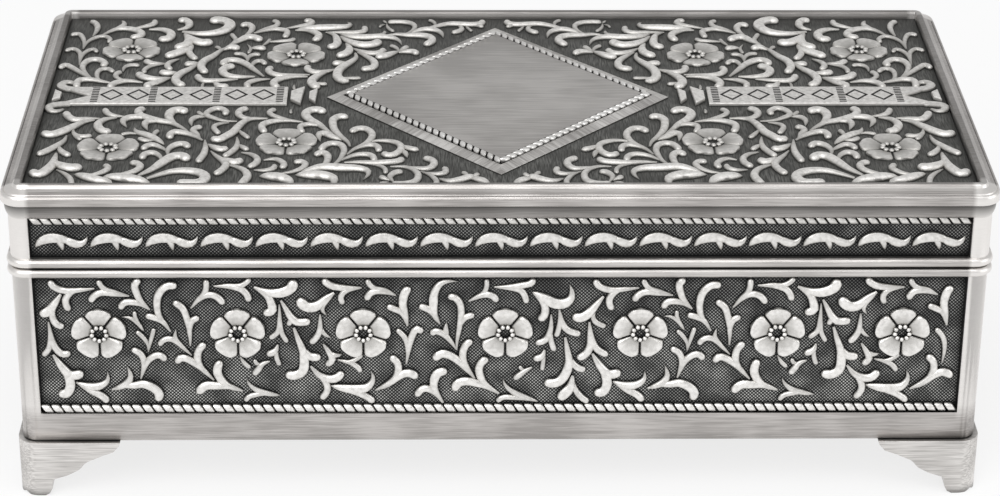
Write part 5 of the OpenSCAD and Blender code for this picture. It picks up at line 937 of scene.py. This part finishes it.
    (1.8, [(-68, -28), (-69.4, -26.4), (-71.4, -25), (-72.8, -26), (-73, -27.4)]),
    (-2, [(-69, -24.6), (-71, -22), (-73.4, -19.8), (-75.2, -18.4), (-76, -15.6)]),
    (1.2, [(-74.8, -19.2), (-76.6, -19), (-78.4, -19.8)]),
    (1.6, [(-71, -22.4), (-73, -22.8), (-74.6, -21.6)]),
    (1.4, [(-71.6, -21), (-71.4, -19), (-70.8, -17.6)]),
    (2.2, [(-64.6, -18), (-66.2, -16), (-68.4, -13.8), (-71, -12.8), (-73.4, -11.4), (-75.2, -9.8),
          (-75.8, -7.6), (-74.6, -6.2)]),
    (-2, [(-73, -11.4), (-75.6, -10.8), (-77.8, -11.4), (-78.6, -13), (-77.4, -16)]),
    (-1.8, [(-70.5, -13), (-73.2, -13), (-73.9, -14.4), (-73, -17.4)]),
    (2.6, [(-66.6, -16), (-68.4, -13), (-69.2, -10.4), (-68.6, -7.8), (-66.6, -7.4), (-66, -8.8)]),
    (1.8, [(-78.4, -10.3), (-80.8, -10), (-82.2, -8.8), (-83, -6.6)]),
    (2.4, [(-80, -10.8), (-82.4, -12), (-83.6, -14.4), (-83, -17), (-81.6, -18.4), (-80.8, -17.6)]),
    (2, [(-61.2, -22.6), (-63, -20.6), (-65.4, -19), (-67.4, -18.6), (-68.2, -20), (-68, -21.8)]),
    (1.8, [(-61.8, -22), (-62.6, -19.6), (-63.6, -17.8), (-62.8, -16.2), (-61.8, -16.5)]),
    (1.9, [(-60.8, -22.4), (-60.6, -24.4), (-60.4, -27), (-60.6, -30), (-61.2, -32.4), (-61.4, -33.6)]),
    (2.2, [(-60, -24.6), (-58.6, -26.4), (-57, -27.4), (-55.8, -26.6)]),
    (2, [(-59.2, -28), (-58, -30.4), (-56.6, -32.6), (-55.7, -35), (-56.4, -37.6), (-57.6, -39.6)]),
    (2.4, [(-56.8, -31.4), (-55.4, -32.8), (-53.8, -33.8), (-52.6, -32.4)]),
    (2.2, [(-55.2, -34.8), (-53, -36.2), (-51.6, -38), (-51, -40.6), (-51.6, -43), (-52.2, -45)]),
    (1.9, [(-52.9, -28.6), (-51, -29.6), (-49.6, -31.6), (-49.6, -34), (-51, -36.2)]),
    (1.8, [(-54.3, -21), (-54, -24), (-54.2, -26.6), (-55.2, -29), (-56.4, -31)]),
    (1.6, [(-54, -24.6), (-52.8, -26.2), (-51.6, -27.6)]),
    (2.4, [(-48.5, -11.4), (-52, -11.8), (-53.4, -13.4), (-54.4, -16), (-55.2, -18.6), (-56.6, -20.8),
          (-58.2, -22.6), (-59.4, -21.6)]),
    (1.4, [(-54.3, -17), (-53.4, -19), (-51.8, -21.6)]),
    (2, [(-50, -11.4), (-53, -11.4), (-54.6, -9.6), (-54.4, -7.4), (-52.8, -6.2)]),
    (1.8, [(-54.8, -12.8), (-57.6, -12.6), (-59.8, -11.2), (-61.4, -9.6), (-60.8, -7.4), (-59, -6.3),
          (-57.4, -7.8), (-57.6, -9.6)]),
    (1.2, [(-61, -10), (-62.4, -9.2), (-63.4, -7.9)]),
    (-1.5, [(-61.4, -10.4), (-63.4, -10.8), (-64.4, -12.6), (-64, -15.4)]),
    (1.6, [(-56.4, -13.4), (-58.6, -14.4), (-59.4, -16), (-58.6, -18.4), (-58, -19.4)]),
    (2, [(-41, -13.2), (-44, -12.6), (-47, -13), (-49.2, -14.6), (-49.4, -16.6), (-48.6, -18.8)]),
    (1.6, [(-42.6, -12.6), (-45.4, -11.4), (-47.6, -9.8), (-48.2, -8), (-47, -6.6)]),
    (0.9, [(-43.7, -6.2), (-43.8, -7.4), (-43.7, -8.6)]),
    (2.5, [(-34.6, -19.4), (-36.2, -17), (-37.6, -14.6), (-39.6, -12.2), (-40.6, -9.6), (-39.8, -7.6),
          (-38, -7.2), (-36.6, -8.6)]),
    (1.7, [(-36, -17.4), (-37.2, -15.4), (-39.2, -14.6), (-41.2, -15.2), (-41.4, -17), (-40.7, -18.8)]),
    (2.2, [(-30.8, -25.8), (-31.4, -23.4), (-33, -20.6), (-34.2, -17.6), (-34.7, -14.6), (-34.6, -12),
          (-33.2, -10.6), (-31.6, -11.2)]),
    (-2, [(-32.6, -22.4), (-34.6, -21), (-36.2, -19.4), (-37.4, -19.8), (-37, -23.2)]),
    (2, [(-31.4, -29.8), (-30, -27.2), (-28, -25), (-26.7, -22.4), (-26.4, -19.6), (-27.6, -17.2),
          (-29.4, -16.9), (-30.9, -18.6)]),
    (1.8, [(-30.4, -27.4), (-28, -25.6), (-26, -25.2), (-25, -26.4), (-24.9, -28.4)]),
    (2, [(-27.6, -23.8), (-25.4, -22.9), (-22.8, -23.2), (-20.8, -24.6), (-20.3, -26.8), (-21, -29),
          (-22.6, -30.4), (-24.2, -29.2)]),
    (1.8, [(-20.8, -25), (-19, -26.6), (-17.4, -27.4), (-16.8, -27)]),
    (-1.4, [(-20.2, -27.4), (-19.4, -29.2), (-19, -31.2)]),
    (1.9, [(-34.8, -36), (-33, -33), (-32.2, -30), (-32, -27.4), (-32.8, -25), (-34.6, -24.4),
          (-36, -25.4), (-36.8, -27.8)]),
    (1.8, [(-32.6, -32.6), (-30.4, -30.6), (-28, -29.8), (-26.2, -30.6), (-25.6, -33)]),
    (2, [(-31.8, -33.6), (-29, -33.6), (-26, -34), (-23, -33.8), (-20.8, -33.2), (-19.9, -31.8)]),
    (1.3, [(-26.4, -34.4), (-24.4, -35.4), (-23.4, -37), (-23.3, -39)]),
    (-2.6, [(-40.6, -38.8), (-38, -37), (-36, -36.2), (-32, -36.6), (-29, -36.8), (-27, -37.8),
          (-26.8, -39.6), (-27.8, -41.8)]),
    (-3, [(-41.4, -39.6), (-38.4, -40), (-35.8, -40.4), (-33.8, -41.6), (-33.6, -43.6), (-34.2, -45.2)]),
    (-3, [(-48.6, -40.2), (-45.8, -40.8), (-43.2, -42), (-42.2, -43.8), (-42.8, -45.2)]),
    (1.8, [(-44.6, -39), (-42, -38.2), (-40.2, -36.6), (-39.6, -34.6), (-40.6, -33.4), (-42, -33.8)]),
    (1.6, [(-49.9, -37.2), (-47.6, -37.6), (-46, -36.6), (-45.8, -35)]),
    (1.8, [(-48.2, -32.4), (-46.2, -32), (-44.6, -33.2), (-43.9, -35), (-44.4, -36.6)]),
    (2, [(-38.4, -37.6), (-36, -35.4), (-35.2, -32.6), (-35.4, -30), (-36.6, -29), (-37.8, -30.4)]),
    (1.9, [(-22.4, -35.6), (-19.6, -35.8), (-17.5, -37.6), (-16.7, -40.2), (-17.4, -43), (-19.6, -44.2),
          (-22, -44)]),
    (1.8, [(-21.6, -43), (-22.4, -40.8), (-21.4, -38.8), (-19.8, -38.2)]),
    (1.6, [(-22.4, -42.2), (-23.6, -41.4), (-24.5, -40.6)]),
    (1.4, [(-22.6, -43), (-24, -44), (-24.5, -45.2)]),
    (2, [(-19.6, -35.6), (-17, -36.6), (-14.8, -36.8), (-13.6, -35), (-13.8, -33), (-15.7, -31.5)]),
    (1.5, [(-16.4, -37.8), (-14.6, -39.4), (-13.4, -41.6), (-13, -43.6), (-13.8, -45.2)]),
    (1.7, [(-15.4, -38.4), (-13, -39.4), (-11.4, -38.8), (-11.2, -37.2), (-11.8, -36.4)]),
    (2.2, [(-12.4, -41.6), (-10.4, -42.8), (-8.2, -42.2), (-6.8, -41.2), (-5.4, -40.6)]),
    (1.3, [(-7.4, -41), (-7, -39.6), (-7.9, -38.4)]),
    (-1.9, [(-6.2, -41.2), (-4.4, -42.2), (-3, -43.4), (-2.6, -45.2)]),
    (1.4, [(-6, -40.6), (-5, -39.8), (-4.5, -39.2)]),
]

ribbonShape = {
    "from": 44.8, "to": 92, "notch": 86.8, "tailCut": (0.8, 1), "half": 4.5, "lift": 0.85, "curlLift": 0.8,
    "groove": 0.52, "diamondX": (49.9, 55.7, 63.2, 69.4, 76.6, 82.2), "diamondHalf": (2.2, 2.6),
    "tickX": (46.4, 59.8, 73.4, 85.7), "tickPitch": 0.9,
    # The two tails, from the tip of each curl back into the band
    "curls": [
        (2.3, [(-90.6, 6.4), (-91.2, 7.6), (-92.4, 8), (-93.5, 6.8), (-93.3, 5.2), (-92, 4.2), (-90.2, 3.9)]),
        (2.3, [(-91.8, -6.4), (-92.8, -7.6), (-94.2, -7.4), (-94.8, -5.9), (-94.2, -4.7), (-92.4, -4.1),
               (-90.2, -3.9)]),
    ],
    "folds": [
        [(44.1, 2.1), (44.1, -2.1), (41.9, -4.5), (41.3, 4.5)],
        [(40.2, 1.7), (40.2, -1.7), (38.8, -3.8), (38.5, 3.6)],
        [(94.5, 2.9), (94.6, -2.7), (93, -1.2), (92.9, 1.4)],
    ],
}

lidPattern = {"flowers": ((80.4, 26.4), (44, 23.7)), "flowerScale": 1.02, "flowerLift": 0.85, "plate": 1.2}


def mirroredHalf(arms):
    return arms + [(width, [(-x, y) for x, y in points]) for width, points in arms]


def ribbonBand(bm, side):
    # Flat band with a forked end, and the folds of the banner beyond both ends
    shape = ribbonShape
    half = shape["half"]
    tail, notch = shape["to"], shape["notch"]
    cutX, cutY = shape["tailCut"]
    band = ((shape["from"], -half), (tail - cutX, -half), (tail, cutY - half), (notch, 0),
            (tail, half - cutY), (tail - cutX, half), (shape["from"], half))
    raiseOutline(bm, [(side * x, y) for x, y in band], shape["lift"])
    for fold in shape["folds"]:
        raiseOutline(bm, [(side * x, y) for x, y in fold], shape["lift"] * 1.2)


def raiseOutline(bm, outline, lift):
    # Edges softened as the casting's are; seen from above, a face drawn clockwise is turned over
    face = bm.faces.new([bm.verts.new((x * mm, y * mm, -0.1 * mm)) for x, y in outline])
    face.normal_update()
    if face.normal.z < 0:
        face.normal_flip()
    raised = bmesh.ops.extrude_face_region(bm, geom=[face])
    face.normal_flip()
    top = [v for v in raised["geom"] if isinstance(v, bmesh.types.BMVert)]
    bmesh.ops.translate(bm, verts=top, vec=(0, 0, (lift + 0.1) * mm))
    rim = [e for e in raised["geom"] if isinstance(e, bmesh.types.BMEdge)]
    bmesh.ops.bevel(bm, geom=rim, offset=0.25 * mm, segments=2, affect="EDGES", profile=0.5, material=-1)


def ribbonGrooves(bm, side):
    # Engraved diamonds and rows of ticks, laid as thin dark strips on the band: the patina in the grooves and
    # their painted shade
    shape = ribbonShape
    a, b = shape["diamondHalf"]
    for x in shape["diamondX"]:
        outline = [(a, 0), (0, b), (-a, 0), (0, -b)]
        for start, stop in zip(outline, outline[1:] + outline[:1]):
            darkGrooveStrip(bm, side * x + start[0], start[1], side * x + stop[0], stop[1],
                  shape["groove"], shape["lift"])
    for x in shape["tickX"]:
        for i in range(-4, 5):
            y = i * shape["tickPitch"]
            darkGrooveStrip(bm, side * x - 0.6, y, side * x + 0.6, y, shape["groove"], shape["lift"])


# One engraved line as a dark strip: its patina and painted shade
def darkGrooveStrip(bm, x0, y0, x1, y1, width, lift):
    run = Vector((x1 - x0, y1 - y0, 0))
    turn = run.to_track_quat("X", "Z").to_matrix().to_4x4()
    place = Matrix.Translation(((x0 + x1) / 2 * mm, (y0 + y1) / 2 * mm, (lift - 0.04) * mm))
    size = Matrix.Diagonal(((run.length + width * 0.6) * mm, width * mm, 0.1 * mm, 1))
    bmesh.ops.create_cube(bm, size=1, matrix=place @ turn @ size)


def lidTop():
    low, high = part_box("lid_top_plate")
    lay = Matrix.Translation((0, 0, low[2] + lidPattern["plate"] * mm))
    bm = bmesh.new()
    layPlate(bm, high[0] / mm, low[1] / mm, high[1] / mm, lidPattern["plate"])
    sweepArms(bm, widened(mirroredHalf(lidArms), reliefShape["lidArmScale"]), reliefShape["lidLift"])
    sweepArms(bm, mirroredHalf(ribbonShape["curls"]), ribbonShape["curlLift"])
    flower = flowerMesh(flowerShape)
    for x, y in lidPattern["flowers"]:
        for sx in (-1, 1):
            for sy in (-1, 1):
                place = Matrix.Translation((sx * x * mm, sy * y * mm, 0))
                turn = Matrix.Rotation(pi if sy > 0 else 0, 4, "Z")
                scale = lidPattern["flowerScale"]
                stamp(bm, flower, place @ turn @ Matrix.Diagonal((scale, scale, lidPattern["flowerLift"], 1)))
    for side in (-1, 1):
        ribbonBand(bm, side)
    noteReliefPlace(bm)
    bmesh.ops.transform(bm, matrix=lay, verts=bm.verts)
    addPiece("lidScrollPlate", bm, lidRelief, "lid", ["lid_top_plate"])
    bm = bmesh.new()
    for side in (-1, 1):
        ribbonGrooves(bm, side)
    bmesh.ops.transform(bm, matrix=lay, verts=bm.verts)
    addPiece("ribbonEngraving", bm, engravedShadow, "lid")


# Share of the foot's size and lift above the field of each corner ring, from the foot inwards;
# the rope lies in the groove between the bevel and the face
plaqueShape = {
    "rings": ((1, 0), (1, 0.3), (0.907, 0.8), (0.903, 0.4), (0.85, 0.4), (0.845, 1.2)),
    "edgeRound": 0.08, "ropeShare": 0.876, "strandPitch": 2.05,
    "ropeRadius": 0.78, "ropeRise": 0.28, "roundness": 0.85,
}


def plaque():
    # Bevelled lozenge with a twisted rope in the groove round its face
    low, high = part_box("engraving_plaque")
    shape = plaqueShape
    bm = bmesh.new()
    outline = ((high[0], 0), (0, high[1]), (low[0], 0), (0, low[1]))
    rings = []
    for share, lift in shape["rings"]:
        rings.append([bm.verts.new((x * share, y * share, low[2] + lift * mm)) for x, y in outline])
    for lower, upper in zip(rings, rings[1:]):
        for i in range(4):
            bm.faces.new((lower[i - 1], lower[i], upper[i], upper[i - 1]))
    bm.faces.new(rings[0])
    bm.faces.new(rings[-1])
    bmesh.ops.recalc_face_normals(bm, faces=bm.faces)
    bmesh.ops.bevel(bm, geom=list(bm.edges), offset=shape["edgeRound"] * mm, segments=2, affect="EDGES",
                    profile=0.5, material=-1)
    bevelFrom = shape["rings"][2][0]
    for face in bm.faces:
        middle = face.calc_center_median()
        if abs(middle.x) / high[0] + abs(middle.y) / high[1] > bevelFrom and face.normal.z > 0.3:
            face.material_index = 1
    inner = Vector((high[0], high[1], 0)) * shape["ropeShare"]
    length = inner.length
    strands = round(length / (shape["strandPitch"] * mm))
    strand = strandMesh(length / mm / strands, shape["ropeRadius"], shape["ropeRise"], shape["roundness"])
    strand.polygons.foreach_set("material_index", [2] * len(strand.polygons))
    for sx, sy in ((1, 1), (-1, 1), (-1, -1), (1, -1)):
        start, stop = Vector((sx * inner.x, 0, 0)), Vector((0, sy * inner.y, 0))
        turn = (stop - start).to_track_quat("X", "Z").to_matrix().to_4x4()
        for i in range(strands):
            spot = start.lerp(stop, (i + 0.5) / strands)
            stamp(bm, strand, Matrix.Translation((spot.x, spot.y, high[2])) @ turn)
    piece = addPiece("plaqueLozenge", bm, plaqueSilver, "lid", ["engraving_plaque"])
    piece.data.materials.append(bevelSilver)
    piece.data.materials.append(ropeSilver)


lidTop()
plaque()
print("lid relief and plaque made")

# ---- frames, feet, hinges and base plate

softenedCopy("body_frame", frameSilver, "body", 0.1)
softenedCopy("lid_frame", frameSilver, "lid", 0.1, postEdge=0.7)
softenedCopy("bottom_plate", baseSheet, "body", 0.1)
for corner in ("front_left", "front_right", "back_left", "back_right"):
    softenedCopy("foot_" + corner, footSilver, "body", 0.22)
for side in ("left", "right"):
    softenedCopy(side + "_hinge_body_leaf", hingeNickel, "body", 0.08)
    softenedCopy(side + "_hinge_lid_leaf", hingeNickel, "lid", 0.08)
    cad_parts[side + "_hinge_pin"].data.materials[0] = screwSteel
for node in ("foot_screws", "hinge_body_rivets", "hinge_lid_rivets"):
    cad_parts[node].data.materials[0] = screwSteel
print("frames, feet and hinges softened")

# ---- velvet lining

velvetShape = {"padCrown": 0.5, "boardRound": 0.7}


def velvetPad(node, name, body, crownAxis, crownSign):
    # Board wrapped in velvet over thin wadding: round edges, and a face that swells towards its middle
    low, high = Vector(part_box(node)[0]), Vector(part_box(node)[1])
    size, middle = high - low, (high + low) / 2
    bm = bmesh.new()
    bmesh.ops.create_cube(bm, size=1, matrix=Matrix.Translation(middle) @ Matrix.Diagonal((*size, 1)))
    bmesh.ops.bevel(bm, geom=list(bm.edges), offset=velvetShape["boardRound"] * mm, segments=3,
                    affect="EDGES", profile=0.5, material=-1)
    for axis in range(3):
        cuts = int(size[axis] / (4 * mm))
        for i in range(1, cuts):
            at = low.copy()
            at[axis] += size[axis] * i / cuts
            normal = Vector((0, 0, 0))
            normal[axis] = 1
            bmesh.ops.bisect_plane(bm, geom=list(bm.verts) + list(bm.edges) + list(bm.faces),
                                   plane_co=at, plane_no=normal, dist=0.01 * mm)
    others = [i for i in range(3) if i != crownAxis]
    face = high[crownAxis] if crownSign > 0 else low[crownAxis]
    sink = velvetShape["padCrown"] * mm
    for v in bm.verts:
        depth = abs(v.co[crownAxis] - face)
        if depth < size[crownAxis] * 0.5:
            swell = 1
            for i in others:
                edge = min(v.co[i] - low[i], high[i] - v.co[i])
                swell *= min(1, max(0, edge / (6 * mm))) ** 0.5
            v.co[crownAxis] -= crownSign * sink * (1 - swell)
    bmesh.ops.recalc_face_normals(bm, faces=bm.faces)
    piece = addPiece(name, bm, liningVelvet, body, [node], 60)


velvetPad("floor_pad", "floorCushion", "body", 2, 1)
velvetPad("lid_lining_pad", "lidCushion", "lid", 2, -1)
for side, axis, sign in (("front", 1, 1), ("back", 1, -1), ("left", 0, 1), ("right", 0, -1)):
    velvetPad("body_lining_" + side, side + "VelvetBoard", "body", axis, sign)
    velvetPad("lid_lining_" + side, side + "LidVelvetBoard", "lid", axis, sign)
print("velvet lining made")

# ---- the table and the room


def layFloor():
    bm = bmesh.new()
    bmesh.ops.create_grid(bm, x_segments=1, y_segments=1, size=4)
    mesh = bpy.data.meshes.new("paperSweep")
    bm.to_mesh(mesh)
    bm.free()
    mesh.materials.append(paperWhiteFloor("paperWhite"))
    floor = bpy.data.objects.new("paperSweep", mesh)
    scene.collection.objects.link(floor)


def lightRoom(strength):
    world = bpy.data.worlds.new("studio")
    world.use_nodes = True
    scene.world = world
    tree = world.node_tree
    path = addNode(tree, "LightPath")
    direct = addNode(tree, "Math", {"operation": "MAXIMUM"},
                     {0: path.outputs["Is Camera Ray"], 1: path.outputs["Is Transmission Ray"]}).outputs[0]
    level = addNode(tree, "MapRange", None, {"Value": direct, "To Min": strength, "To Max": 1}).outputs[0]
    background = tree.nodes["Background"]
    background.inputs["Color"].default_value = (1, 1, 1, 1)
    tree.links.new(level, background.inputs["Strength"])


layFloor()
lightRoom(0.6)
scene.view_settings.view_transform = "Standard"

print("scene ready")
